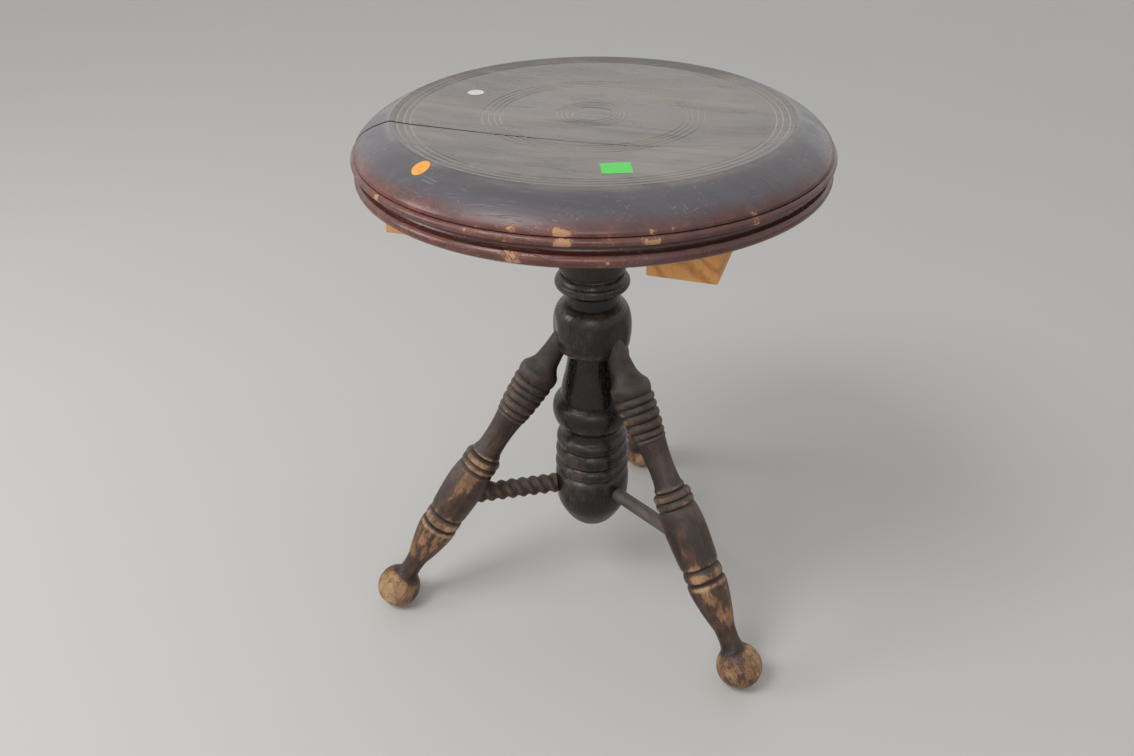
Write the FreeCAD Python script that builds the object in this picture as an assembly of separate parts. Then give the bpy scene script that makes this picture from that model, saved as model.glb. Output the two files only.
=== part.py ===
import FreeCAD, Part
import math
import os

# Revolving piano stool with three turned legs, in millimetres.
# Z is up, the floor is Z 0 and the column stands on the Z axis.
# The back leg points to +Y, and the seat's grain runs along X.

# Clearances
FIT = 0.05
SOCKET_GAP = 0.3
THREAD_GAP = 0.3
OVERCUT = 1.0

# Seat
SEAT_TOP = 451.0
SEAT_THICKNESS = 44.0
SEAT_RADIUS = 178.0
SEAT_CREST_RADIUS = 147.1
SEAT_DISH_DEPTH = 2.0
SEAT_FLAT_RADIUS = 90.0
SEAT_RIM_HEIGHT = 23.0
BOARD_JOINT_Y = 62.0
SPLIT_WIDTH = 1.6
SPLIT_LENGTH = 190.0
SPLIT_RUNOUT = 5.0
RING_GROOVE_WIDTH = 1.4
RING_GROOVE_DEPTH = 0.8
INNER_RING_RADII = (15.2, 19.5, 23.1, 26.7, 68.3, 72.3, 76.6, 81.3)
OUTER_RING_INSETS = (14.2, 9.8, 4.8, 0.0)

# The roll round the seat: shares of its width and of its height, from the crest outwards
SEAT_ROLL = ((0.36, 0.219), (0.62, 0.448), (0.79, 0.662), (0.90, 0.867))

# Beads of the seat's rim, as arcs: inset and height over the underside, at the middle and the end
SEAT_RIM_START = (2.6, 23.0)
SEAT_RIM_GROOVE = (4.4, 22.0)
SEAT_RIM_BEADS = (
    (0.0, 19.2, 2.6, 16.4),
    (8.0, 13.0, 3.4, 10.0),
    (1.2, 5.6, 4.6, 1.6),
)
SEAT_UNDERSIDE_INSET = 7.0

# Battens under the seat, their outer faces set in from the seat's rim
BATTEN_WIDTH = 50.0
BATTEN_DEPTH = 38.0
BATTEN_EDGE = 1.0
RIGHT_BATTEN_INSET = 62.0
RIGHT_BATTEN_LENGTH = 178.0
LEFT_BATTEN_INSET = 39.0
LEFT_BATTEN_LENGTH = 152.0

# Screws, each with its grip in the wood past the piece it holds
WOOD_SCREW_SHANK = 2.3
WOOD_SCREW_HEAD = 4.6
BATTEN_SCREW_GRIP = 20.0
PLATE_SCREW_GRIP = 22.0
HUB_SCREW_GRIP = 26.0
NUT_SCREW_SHANK = 1.5
NUT_SCREW_HEAD = 3.2
NUT_SCREW_GRIP = 15.0
SCREW_HEAD_EDGE = 0.4
SCREW_TIP_RADIUS = 0.4
SCREW_TIP_SHARE = 2.5
SCREW_SLOT_WIDTH = 1.0
SCREW_SLOT_DEPTH = 1.0

# Legs: a place along a leg is its distance from the ball foot's centre
LEG_NAMES = ("leg_left", "leg_right", "leg_back")
LEG_ANGLES = (210.0, 330.0, 90.0)
FOOT_CIRCLE_RADIUS = 182.75
FOOT_BALL_RADIUS = 19.2
FOOT_FLAT_DEPTH = 0.4
LEG_TOP_INSET = 2.5
LEG_TOP_HEIGHT = 256.0
LEG_BARREL_RADIUS = 17.7
LEG_TENON_RADIUS = 6.0
LEG_TENON_LENGTH = 12.0
LEG_SHOULDER_RADIUS = 8.2
LEG_SHOULDER_PAST_TOP = 6.0
SOCKET_END_GAP = 0.5

# The leg as turned, from the ball up: radius and place along a leg of this length
LEG_TURNED_LENGTH = 282.13
LEG_ANKLE = (
    (10.2, 17.0), (8.8, 21.5), (8.6, 28.0), (9.3, 36.5),
    (12.0, 47.0), (14.8, 60.0), (16.4, 70.0), (16.9, 77.0),
)
LEG_LOW_BEAD = ((16.6, 78.6), (15.2, 80.0), (15.2, 81.0), (16.6, 86.5), (15.2, 92.0), (15.2, 93.4))
LEG_BARREL = (
    (16.4, 96.0), (17.1, 105.0), (LEG_BARREL_RADIUS, 118.0),
    (LEG_BARREL_RADIUS, 130.0), (16.8, 140.0), (15.6, 146.0),
)
LEG_HIGH_BEADS = (
    (14.9, 147.4), (16.3, 151.0), (14.9, 154.6), (16.2, 157.7), (14.2, 160.6),
    (12.2, 161.8), (12.9, 164.2), (11.8, 166.6),
)
LEG_WAIST = ((11.1, 171.0), (10.7, 181.0), (11.2, 194.0), (12.2, 203.5), (12.5, 206.6))
LEG_WAIST_BEAD = ((13.5, 208.3), (12.6, 210.0))
LEG_RING_ENDS = ((14.3, 216.0), (15.2, 224.0), (15.9, 232.0), (16.3, 238.5), (16.8, 245.5))
LEG_RING_DEPTH = 1.5
LEG_TOP_BEAD = ((16.9, 250.5), (16.2, 256.0))
LEG_NECK = ((13.2, 260.2), (10.8, 265.2), (9.7, 272.0), (8.8, 281.0))

# Column
COLUMN_BOTTOM = 67.5
COLUMN_BARREL_RADIUS = 32.6
COLLAR_RADIUS = 32.5
COLLAR_HEIGHT = 41.0
COLLAR_ROUND_HEIGHT = 9.0
COLLAR_ROUND_DEPTH = 5.5
COLLAR_FLAT_DEPTH = 1.7
COLLAR_ABOVE_LEG_TOP = 1.0
COLUMN_HEAD_HEIGHT = 23.0
COLUMN_HEAD_NECK = 0.5
COLUMN_HEAD_BEAD = 3.6
COLUMN_HEAD_TOP = 0.4
COLUMN_TOP_WALL = 2.0

# The column as turned below its collar: radius and height over its foot, for this height
COLUMN_TURNED_HEIGHT = 189.5
COLUMN_FOOT = (
    (6.0, 0.5), (13.0, 2.8), (20.0, 8.6), (25.6, 17.0), (29.8, 25.5),
    (COLUMN_BARREL_RADIUS - 0.9, 34.0), (COLUMN_BARREL_RADIUS, 44.0),
    (COLUMN_BARREL_RADIUS, 53.5), (COLUMN_BARREL_RADIUS - 0.8, 59.5),
)
COLUMN_RINGS = (
    (29.6, 61.7), (32.4, 67.5), (29.4, 73.5), (31.9, 81.0), (28.8, 88.5), (31.0, 94.5), (27.6, 100.5),
)
COLUMN_WAIST = ((26.6, 104.0), (27.2, 108.5), (29.2, 111.1))
COLUMN_BULB = ((32.6, 116.5), (34.0, 124.5), (32.6, 131.9), (28.2, 136.5))
COLUMN_BULB_EDGE = (27.2, 137.1)
COLUMN_VASE = ((27.0, 140.5), (24.7, 152.5), (22.5, 162.5), (21.0, 172.5), (20.6, 179.5))
COLUMN_FLARE = (27.5, 182.1)

# Adjusting screw, and the nut that it runs in
SCREW_RADIUS = 12.5
SCREW_THREAD_DEPTH = 1.7
SCREW_PITCH = 6.0
SCREW_CREST = 1.5
SCREW_FLANK_ANGLE = 20.0
SCREW_RIDGE_SINK = 0.6
SCREW_SPIGOT_STEP = 3.5
SCREW_TURNS_BELOW = 23
SCREW_TURNS_ABOVE = 1
SCREW_RELIEF = 4.0
SCREW_POINT_LENGTH = 4.0
SCREW_POINT_INSET = 1.5
SCREW_POINT_CONE_HEIGHT = 5.5
BORE_CLEARANCE = 0.9
BORE_PAST_SCREW = 9.0
NUT_WALL = 3.5
NUT_LENGTH = 25.0
NUT_FLANGE_WIDTH = 8.0
NUT_FLANGE_THICKNESS = 3.0
NUT_SCREW_ANGLE = 30.0

# Washer, hub and plate between the column and the seat
WASHER_THICKNESS = 1.5
WASHER_INSET = 1.0
WASHER_CLEARANCE = 0.6
HUB_BOTTOM_RADIUS = 26.0
HUB_TOP_RADIUS = 60.0
HUB_RIM_HEIGHT = 9.0
HUB_RIM_NECK = 3.0
HUB_RIM_TOP = 2.0
HUB_SCREW_INSET = 9.0
HUB_SCREW_SEAT_HEIGHT = 10.0
HUB_SCREW_ANGLE = 45.0
HUB_POCKET_CLEARANCE = 0.6
PLATE_RADIUS = 40.0
PLATE_THICKNESS = 4.0
PLATE_SCREW_CIRCLE = 30.0

# The hub's flare: shares of its width and of its height, from the foot up
HUB_FLARE = ((0.06, 0.08), (0.17, 0.30), (0.34, 0.56), (0.62, 0.82))

# Stretchers from the legs to the column
STRETCHER_HEIGHT = 113.5
TWIST_RADIUS = 7.8
TWIST_CORE_RADIUS = 5.2
TWIST_PITCH = 19.0
STRETCHER_TENON_RADIUS = 4.5
STRETCHER_TENON_LENGTH = 12.0
STRETCHER_SHORT_OF_LEG_AXIS = 4.0
DOWEL_RADIUS = 6.0
STRETCHER_HOLE_RADII = (STRETCHER_TENON_RADIUS, DOWEL_RADIUS, STRETCHER_TENON_RADIUS)

# Dependent sizes of the legs and the column
FOOT_BALL_HEIGHT = FOOT_BALL_RADIUS - FOOT_FLAT_DEPTH
LEG_TOP_REACH = COLLAR_RADIUS - LEG_TOP_INSET
FOOT_TO_TOP_REACH = FOOT_CIRCLE_RADIUS - LEG_TOP_REACH
FOOT_TO_TOP_RISE = LEG_TOP_HEIGHT - FOOT_BALL_HEIGHT
LEG_LENGTH = math.hypot(FOOT_TO_TOP_REACH, FOOT_TO_TOP_RISE)
LEG_TILT = math.degrees(math.atan2(FOOT_TO_TOP_REACH, FOOT_TO_TOP_RISE))
LEG_SHOULDER = LEG_LENGTH + LEG_SHOULDER_PAST_TOP
COLLAR_LOW = LEG_TOP_HEIGHT + COLLAR_ABOVE_LEG_TOP
COLLAR_HIGH = COLLAR_LOW + COLLAR_HEIGHT
COLLAR_FLAT = COLLAR_RADIUS - COLLAR_FLAT_DEPTH
COLUMN_TOP = COLLAR_HIGH + COLUMN_HEAD_HEIGHT

# Dependent sizes of the screw, the nut and what sits on the column
SCREW_ROOT_RADIUS = SCREW_RADIUS - SCREW_THREAD_DEPTH
SCREW_SPIGOT_RADIUS = SCREW_RADIUS - SCREW_SPIGOT_STEP
THREAD_BOTTOM = COLUMN_TOP - SCREW_PITCH * SCREW_TURNS_BELOW
THREAD_TOP = COLUMN_TOP + SCREW_PITCH * SCREW_TURNS_ABOVE
SCREW_BOTTOM = THREAD_BOTTOM - SCREW_POINT_LENGTH
BORE_RADIUS = SCREW_RADIUS + BORE_CLEARANCE
BORE_BOTTOM = SCREW_BOTTOM - BORE_PAST_SCREW
NUT_RADIUS = SCREW_RADIUS + NUT_WALL
NUT_FLANGE_RADIUS = NUT_RADIUS + NUT_FLANGE_WIDTH
NUT_SCREW_CIRCLE = NUT_RADIUS + NUT_FLANGE_WIDTH / 2
COLUMN_TOP_RADIUS = NUT_FLANGE_RADIUS + COLUMN_TOP_WALL
WASHER_RADIUS = COLUMN_TOP_RADIUS - WASHER_INSET
HUB_BOTTOM = COLUMN_TOP + WASHER_THICKNESS
HUB_SCREW_CIRCLE = HUB_TOP_RADIUS - HUB_SCREW_INSET
SEAT_BOTTOM = SEAT_TOP - SEAT_THICKNESS
PLATE_BOTTOM = SEAT_BOTTOM - PLATE_THICKNESS
HUB_SCREW_BOTTOM = SEAT_BOTTOM - HUB_SCREW_SEAT_HEIGHT
RIGHT_BATTEN_X = SEAT_RADIUS - RIGHT_BATTEN_INSET - BATTEN_WIDTH / 2
LEFT_BATTEN_X = LEFT_BATTEN_INSET + BATTEN_WIDTH / 2 - SEAT_RADIUS

# Dependent sizes of the stretchers
STRETCHER_START = COLUMN_BARREL_RADIUS - STRETCHER_TENON_LENGTH
TWIST_START = COLUMN_BARREL_RADIUS + SOCKET_GAP

UP = FreeCAD.Vector(0, 0, 1)
ORIGIN = FreeCAD.Vector(0, 0, 0)


def point(radius, height):
    return FreeCAD.Vector(radius, 0, height)


def turned(steps):
    """A solid turned about Z from steps in the half plane: ("at", r, z) starts it,
    ("to", r, z) is a line, ("via", r, z, r, z) an arc and ("curve", pairs) a spline."""
    edges = []
    here = None
    for step in steps:
        kind = step[0]
        if kind == "at":
            here = point(step[1], step[2])
            first = here
            continue
        if kind == "to":
            there = point(step[1], step[2])
            edges.append(Part.LineSegment(here, there).toShape())
        elif kind == "via":
            middle = point(step[1], step[2])
            there = point(step[3], step[4])
            edges.append(Part.Arc(here, middle, there).toShape())
        else:
            places = [here] + [point(r, z) for r, z in step[1]]
            spline = Part.BSplineCurve()
            spline.interpolate(places)
            there = places[-1]
            edges.append(spline.toShape())
        here = there
    edges.append(Part.LineSegment(here, first).toShape())
    face = Part.Face(Part.Wire(edges))
    solid = face.revolve(ORIGIN, UP, 360)
    return solid.removeSplitter() if solid.ShapeType == "Solid" else Part.Solid(solid)


def cylinder(radius, low, high):
    return Part.makeCylinder(radius, high - low, FreeCAD.Vector(0, 0, low))


def save(shape, name):
    if not shape.isValid():
        raise ValueError(name + " is not a valid shape")
    shape.exportStep("parts/" + name + ".step")
    print(name, len(shape.Solids), "solids", round(shape.Volume / 1000, 1), "cm3")


def one_solid(shape):
    """The single solid of a boolean's result."""
    if len(shape.Solids) != 1:
        raise ValueError("expected one solid, got " + str(len(shape.Solids)))
    return shape.Solids[0]


def wood_screw(length, shank, head, gap=0.0):
    """A countersunk screw pointing up, its head face at Z 0; with a gap it is
    the cutter for that screw's hole."""
    screw = turned(
        [
            ("at", 0, 0),
            ("to", head + gap, 0),
            ("to", head + gap, SCREW_HEAD_EDGE),
            ("to", shank + gap, head - shank + SCREW_HEAD_EDGE),
            ("to", shank + gap, length - SCREW_TIP_SHARE * shank),
            ("to", SCREW_TIP_RADIUS + gap, length + gap),
            ("to", 0, length + gap),
        ]
    )
    if gap:
        return screw
    slot = Part.makeBox(
        4 * head,
        SCREW_SLOT_WIDTH,
        2 * SCREW_SLOT_DEPTH,
        FreeCAD.Vector(-2 * head, -SCREW_SLOT_WIDTH / 2, -SCREW_SLOT_DEPTH),
    )
    return one_solid(screw.cut(slot))


def batten_screw(gap=0.0):
    return wood_screw(BATTEN_DEPTH + BATTEN_SCREW_GRIP, WOOD_SCREW_SHANK, WOOD_SCREW_HEAD, gap)


def plate_screw(gap=0.0):
    return wood_screw(PLATE_THICKNESS + PLATE_SCREW_GRIP, WOOD_SCREW_SHANK, WOOD_SCREW_HEAD, gap)


def hub_screw(gap=0.0):
    return wood_screw(HUB_SCREW_SEAT_HEIGHT + HUB_SCREW_GRIP, WOOD_SCREW_SHANK, WOOD_SCREW_HEAD, gap)


def nut_screw(x, y, gap=0.0):
    length = NUT_FLANGE_THICKNESS + NUT_SCREW_GRIP
    screw = wood_screw(length, NUT_SCREW_SHANK, NUT_SCREW_HEAD, gap)
    screw.rotate(ORIGIN, FreeCAD.Vector(1, 0, 0), 180)
    return moved(screw, x, y, COLUMN_TOP)


def moved(shape, x, y, z):
    copy = shape.copy()
    copy.translate(FreeCAD.Vector(x, y, z))
    return copy


def around(shape, angle):
    copy = shape.copy()
    copy.rotate(ORIGIN, UP, angle)
    return copy


def circle_places(radius, count, first_angle):
    """(x, y) of places spaced evenly on a circle."""
    places = []
    for i in range(count):
        angle = math.radians(first_angle + 360.0 * i / count)
        places.append((radius * math.cos(angle), radius * math.sin(angle)))
    return places


# The seat, turned in one and divided into its three boards


def dish_height(radius):
    """Height of the seat's top face inside the crest."""
    past_flat = max(0.0, radius - SEAT_FLAT_RADIUS)
    share = past_flat / (SEAT_CREST_RADIUS - SEAT_FLAT_RADIUS)
    return SEAT_TOP - SEAT_DISH_DEPTH * (1.0 - share**2)


def seat_blank():
    crest = SEAT_CREST_RADIUS
    half = RING_GROOVE_WIDTH / 2
    rings = INNER_RING_RADII + tuple(crest - inset for inset in OUTER_RING_INSETS)
    steps = [("at", 0, dish_height(0))]
    for ring in rings:
        height = dish_height(ring)
        steps.append(("to", ring - half, height))
        steps.append(("to", ring, height - RING_GROOVE_DEPTH))
        steps.append(("to", ring + half, height))
    across = SEAT_RADIUS - crest
    drop = SEAT_THICKNESS - SEAT_RIM_HEIGHT
    roll = [(crest + out * across, SEAT_TOP - down * drop) for out, down in SEAT_ROLL]
    inset, height = SEAT_RIM_START
    roll.append((SEAT_RADIUS - inset, SEAT_BOTTOM + height))
    steps.append(("curve", roll))
    inset, height = SEAT_RIM_GROOVE
    steps.append(("to", SEAT_RADIUS - inset, SEAT_BOTTOM + height))
    for inset, height, end_inset, end_height in SEAT_RIM_BEADS:
        steps.append(
            ("via", SEAT_RADIUS - inset, SEAT_BOTTOM + height,
             SEAT_RADIUS - end_inset, SEAT_BOTTOM + end_height)
        )
    steps.append(("to", SEAT_RADIUS - SEAT_UNDERSIDE_INSET, SEAT_BOTTOM))
    steps.append(("to", 0, SEAT_BOTTOM))
    return turned(steps)


def batten(centre_x, length):
    box = Part.makeBox(
        BATTEN_WIDTH,
        length,
        BATTEN_DEPTH,
        FreeCAD.Vector(centre_x - BATTEN_WIDTH / 2, -length / 2, SEAT_BOTTOM - BATTEN_DEPTH),
    )
    low_edges = [e for e in box.Edges if e.BoundBox.ZMax < SEAT_BOTTOM - BATTEN_DEPTH / 2]
    return box.makeChamfer(BATTEN_EDGE, low_edges)


def batten_screw_places():
    """Three screws a batten, one into each of the boards it crosses."""
    places = []
    for centre_x, length in (
        (LEFT_BATTEN_X, LEFT_BATTEN_LENGTH),
        (RIGHT_BATTEN_X, RIGHT_BATTEN_LENGTH),
    ):
        reach = (length / 2 + BOARD_JOINT_Y) / 2
        for y in (-reach, 0.0, reach):
            places.append((centre_x, y))
    return places


def seat_boards():
    """The three boards, the front one parted from the middle one by the open joint."""
    blank = seat_blank()
    size = 3 * SEAT_RADIUS
    boards = {}
    for name, low, high in (
        ("seat_board_front", -size, -BOARD_JOINT_Y),
        ("seat_board_middle", -BOARD_JOINT_Y, BOARD_JOINT_Y),
        ("seat_board_back", BOARD_JOINT_Y, size),
    ):
        slab = Part.makeBox(2 * size, high - low, 2 * size, FreeCAD.Vector(-size, low, 0))
        boards[name] = one_solid(blank.common(slab))
    left = -SEAT_RADIUS - SPLIT_RUNOUT
    tip = left + SPLIT_LENGTH
    low = SEAT_BOTTOM - OVERCUT
    corners = [
        FreeCAD.Vector(left, -BOARD_JOINT_Y + OVERCUT, low),
        FreeCAD.Vector(left, -BOARD_JOINT_Y - SPLIT_WIDTH, low),
        FreeCAD.Vector(tip, -BOARD_JOINT_Y, low),
        FreeCAD.Vector(tip, -BOARD_JOINT_Y + OVERCUT, low),
    ]
    outline = Part.makePolygon(corners + [corners[0]])
    wedge = Part.Face(outline).extrude(FreeCAD.Vector(0, 0, SEAT_THICKNESS + 2 * OVERCUT))
    boards["seat_board_front"] = one_solid(boards["seat_board_front"].cut(wedge))
    return boards


def drive(make_screw, places, height, pieces, name):
    """Saves screws at some places and cuts their holes in the pieces that they reach."""
    screws = []
    for x, y in places:
        screws.append(moved(make_screw(), x, y, height))
        hole = moved(make_screw(FIT), x, y, height)
        for piece in pieces:
            if pieces[piece].BoundBox.intersect(hole.BoundBox):
                pieces[piece] = one_solid(pieces[piece].cut(hole))
    save(Part.makeCompound(screws), name)


def plate_screw_places():
    return circle_places(PLATE_SCREW_CIRCLE, 4, 0.0)


def hub_screw_places():
    return circle_places(HUB_SCREW_CIRCLE, 4, HUB_SCREW_ANGLE)


def make_seat():
    pieces = seat_boards()
    pieces["batten_left"] = batten(LEFT_BATTEN_X, LEFT_BATTEN_LENGTH)
    pieces["batten_right"] = batten(RIGHT_BATTEN_X, RIGHT_BATTEN_LENGTH)
    batten_bottom = SEAT_BOTTOM - BATTEN_DEPTH
    drive(batten_screw, batten_screw_places(), batten_bottom, pieces, "batten_screws")
    middle = {"seat_board_middle": pieces["seat_board_middle"]}
    drive(plate_screw, plate_screw_places(), PLATE_BOTTOM, middle, "plate_screws")
    drive(hub_screw, hub_screw_places(), HUB_SCREW_BOTTOM, middle, "hub_screws")
    pieces.update(middle)
    for name in pieces:
        save(pieces[name], name)


def make_hub():
    low = HUB_BOTTOM
    rim_low = SEAT_BOTTOM - HUB_RIM_HEIGHT
    tall = rim_low - low
    neck = HUB_TOP_RADIUS - HUB_RIM_NECK
    wide = neck - HUB_BOTTOM_RADIUS
    flare = [(HUB_BOTTOM_RADIUS + out * wide, low + up * tall) for out, up in HUB_FLARE]
    flare.append((neck, rim_low))
    bore = SCREW_RADIUS + SOCKET_GAP
    hub = turned(
        [
            ("at", bore, low),
            ("to", HUB_BOTTOM_RADIUS, low),
            ("curve", flare),
            ("via", HUB_TOP_RADIUS, (rim_low + SEAT_BOTTOM) / 2,
             HUB_TOP_RADIUS - HUB_RIM_TOP, SEAT_BOTTOM),
            ("to", PLATE_RADIUS + FIT, SEAT_BOTTOM),
            ("to", PLATE_RADIUS + FIT, PLATE_BOTTOM),
            ("to", bore, PLATE_BOTTOM),
        ]
    )
    pocket = cylinder(WOOD_SCREW_HEAD + HUB_POCKET_CLEARANCE, low, HUB_SCREW_BOTTOM + FIT)
    for x, y in hub_screw_places():
        hub = hub.cut(moved(hub_screw(FIT), x, y, HUB_SCREW_BOTTOM))
        hub = one_solid(hub.cut(moved(pocket, x, y, 0)))
    save(hub, "seat_hub")

    plate = cylinder(PLATE_RADIUS, PLATE_BOTTOM, SEAT_BOTTOM)
    spigot_hole = cylinder(SCREW_SPIGOT_RADIUS + FIT, PLATE_BOTTOM - OVERCUT, SEAT_BOTTOM + OVERCUT)
    plate = plate.cut(spigot_hole)
    for x, y in plate_screw_places():
        plate = plate.cut(moved(plate_screw(FIT), x, y, PLATE_BOTTOM))
    save(one_solid(plate), "seat_plate")


# The adjusting screw and its nut share one thread


def thread_ridge(root, tip, crest, low, turns):
    """A trapezoid ridge wound about Z, sunk a little into the core it joins."""
    slope = math.tan(math.radians(SCREW_FLANK_ANGLE))
    sunk_root = root - SCREW_RIDGE_SINK
    foot = crest + 2 * (tip - sunk_root) * slope
    corners = [
        point(sunk_root, low - foot / 2),
        point(tip, low - crest / 2),
        point(tip, low + crest / 2),
        point(sunk_root, low + foot / 2),
    ]
    profile = Part.makePolygon(corners + [corners[0]])
    path = Part.makeHelix(SCREW_PITCH, SCREW_PITCH * turns, root)
    path.translate(FreeCAD.Vector(0, 0, low))
    sweep = Part.Wire(path.Edges).makePipeShell([profile], True, True)
    return Part.Solid(sweep) if sweep.ShapeType != "Solid" else sweep


def make_screw():
    relief = THREAD_TOP + SCREW_RELIEF
    turns = SCREW_TURNS_BELOW + SCREW_TURNS_ABOVE
    ridge = thread_ridge(SCREW_ROOT_RADIUS, SCREW_RADIUS, SCREW_CREST, THREAD_BOTTOM, turns)
    screw = cylinder(SCREW_ROOT_RADIUS, SCREW_BOTTOM, relief + OVERCUT).fuse(ridge)
    screw = screw.fuse(cylinder(SCREW_RADIUS, relief, PLATE_BOTTOM))
    screw = screw.fuse(cylinder(SCREW_SPIGOT_RADIUS, PLATE_BOTTOM - OVERCUT, SEAT_BOTTOM))
    outside = SCREW_RADIUS + OVERCUT
    trim = turned(
        [
            ("at", 0, SCREW_BOTTOM),
            ("to", SCREW_ROOT_RADIUS - SCREW_POINT_INSET, SCREW_BOTTOM),
            ("to", outside, SCREW_BOTTOM + SCREW_POINT_CONE_HEIGHT),
            ("to", outside, SEAT_BOTTOM + OVERCUT),
            ("to", 0, SEAT_BOTTOM + OVERCUT),
        ]
    )
    save(one_solid(screw.common(trim)), "adjusting_screw")


def make_nut():
    low = COLUMN_TOP - NUT_LENGTH
    nut = cylinder(NUT_RADIUS, low, COLUMN_TOP)
    nut = nut.fuse(cylinder(NUT_FLANGE_RADIUS, COLUMN_TOP - NUT_FLANGE_THICKNESS, COLUMN_TOP))
    # the groove is in step with the screw's ridge, and runs out at both ends of the nut
    turns_down = math.ceil(NUT_LENGTH / SCREW_PITCH) + 1
    start = COLUMN_TOP - SCREW_PITCH * turns_down
    root = SCREW_ROOT_RADIUS + THREAD_GAP
    groove_width = SCREW_CREST + 2 * THREAD_GAP
    groove = thread_ridge(root, SCREW_RADIUS + THREAD_GAP, groove_width, start, turns_down + 1)
    nut = nut.cut(groove)
    nut = nut.cut(cylinder(root, low - OVERCUT, COLUMN_TOP + OVERCUT))
    places = circle_places(NUT_SCREW_CIRCLE, 3, NUT_SCREW_ANGLE)
    for x, y in places:
        nut = nut.cut(nut_screw(x, y, FIT))
    save(one_solid(nut), "column_nut")
    save(Part.makeCompound([nut_screw(x, y) for x, y in places]), "nut_screws")
    washer = cylinder(WASHER_RADIUS, COLUMN_TOP, HUB_BOTTOM)
    hole = cylinder(SCREW_RADIUS + WASHER_CLEARANCE, COLUMN_TOP - OVERCUT, HUB_BOTTOM + OVERCUT)
    save(washer.cut(hole), "thrust_washer")


# Legs, column and stretchers


def stretched(table, from_height, to_height, start=0.0):
    """A turning table's points, its heights stretched from one height to another."""
    return [(radius, start + height * to_height / from_height) for radius, height in table]


def lines(points):
    return [("to", radius, height) for radius, height in points]


def arcs(points):
    """Arcs through points taken in pairs, the middle and the end of each."""
    return [("via", *middle, *end) for middle, end in zip(points[::2], points[1::2])]


def along_leg(table):
    return stretched(table, LEG_TURNED_LENGTH, LEG_LENGTH)


def leg_profile():
    """Steps up the leg from the ball to the shoulder, as turned wood."""
    ball = FOOT_BALL_RADIUS
    below, above = math.radians(-5), math.radians(45)
    steps = [
        ("at", 0, -ball),
        ("via", ball * math.cos(below), ball * math.sin(below),
         ball * math.cos(above), ball * math.sin(above)),
        ("curve", along_leg(LEG_ANKLE)),
    ]
    bead = along_leg(LEG_LOW_BEAD)
    steps += lines(bead[:3]) + arcs(bead[3:5]) + lines(bead[5:])
    steps.append(("curve", along_leg(LEG_BARREL)))
    beads = along_leg(LEG_HIGH_BEADS)
    steps += lines(beads[:1]) + arcs(beads[1:5]) + lines(beads[5:6]) + arcs(beads[6:])
    steps.append(("curve", along_leg(LEG_WAIST)))
    bead = along_leg(LEG_WAIST_BEAD)
    steps += arcs(bead)
    start = bead[-1][1]
    for radius, end in along_leg(LEG_RING_ENDS):
        steps.append(("via", radius, (start + end) / 2, radius - LEG_RING_DEPTH, end))
        start = end
    steps += arcs(along_leg(LEG_TOP_BEAD))
    steps.append(("curve", along_leg(LEG_NECK) + [(LEG_SHOULDER_RADIUS, LEG_SHOULDER)]))
    return steps


def leg_blank():
    steps = leg_profile()
    steps.append(("to", LEG_TENON_RADIUS, LEG_SHOULDER))
    steps.append(("to", LEG_TENON_RADIUS, LEG_SHOULDER + LEG_TENON_LENGTH))
    steps.append(("to", 0, LEG_SHOULDER + LEG_TENON_LENGTH))
    return turned(steps)


def leg_socket():
    """What the column loses to one leg: its tenon hole and the seat of its shoulder."""
    end = LEG_SHOULDER + LEG_TENON_LENGTH + SOCKET_END_GAP
    neck = along_leg(LEG_NECK) + [(LEG_SHOULDER_RADIUS, LEG_SHOULDER)]
    neck = [(radius + SOCKET_GAP, height) for radius, height in neck]
    return turned(
        [
            ("at", 0, neck[0][1]),
            ("to", *neck[0]),
            ("curve", neck[1:]),
            ("to", LEG_TENON_RADIUS + FIT, LEG_SHOULDER),
            ("to", LEG_TENON_RADIUS + FIT, end),
            ("to", 0, end),
        ]
    )


def stand_leg(shape, angle):
    """From upright on the Z axis to leaning in to the column, at one leg's angle."""
    copy = shape.copy()
    copy.rotate(ORIGIN, FreeCAD.Vector(0, 1, 0), -LEG_TILT)
    copy.translate(FreeCAD.Vector(FOOT_CIRCLE_RADIUS, 0, FOOT_BALL_HEIGHT))
    return around(copy, angle)


def leg_axis_reach(height):
    """Distance of a leg's centre line from the column's axis at one height."""
    share = (height - FOOT_BALL_HEIGHT) / FOOT_TO_TOP_RISE
    return FOOT_CIRCLE_RADIUS - share * FOOT_TO_TOP_REACH


def lay_along_x(shape, start):
    """From upright on the Z axis to lying along X at the stretchers' height."""
    copy = shape.copy()
    copy.rotate(ORIGIN, FreeCAD.Vector(0, 1, 0), 90)
    copy.translate(FreeCAD.Vector(start, 0, STRETCHER_HEIGHT))
    return copy


STRETCHER_END = leg_axis_reach(STRETCHER_HEIGHT) - STRETCHER_SHORT_OF_LEG_AXIS


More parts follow.
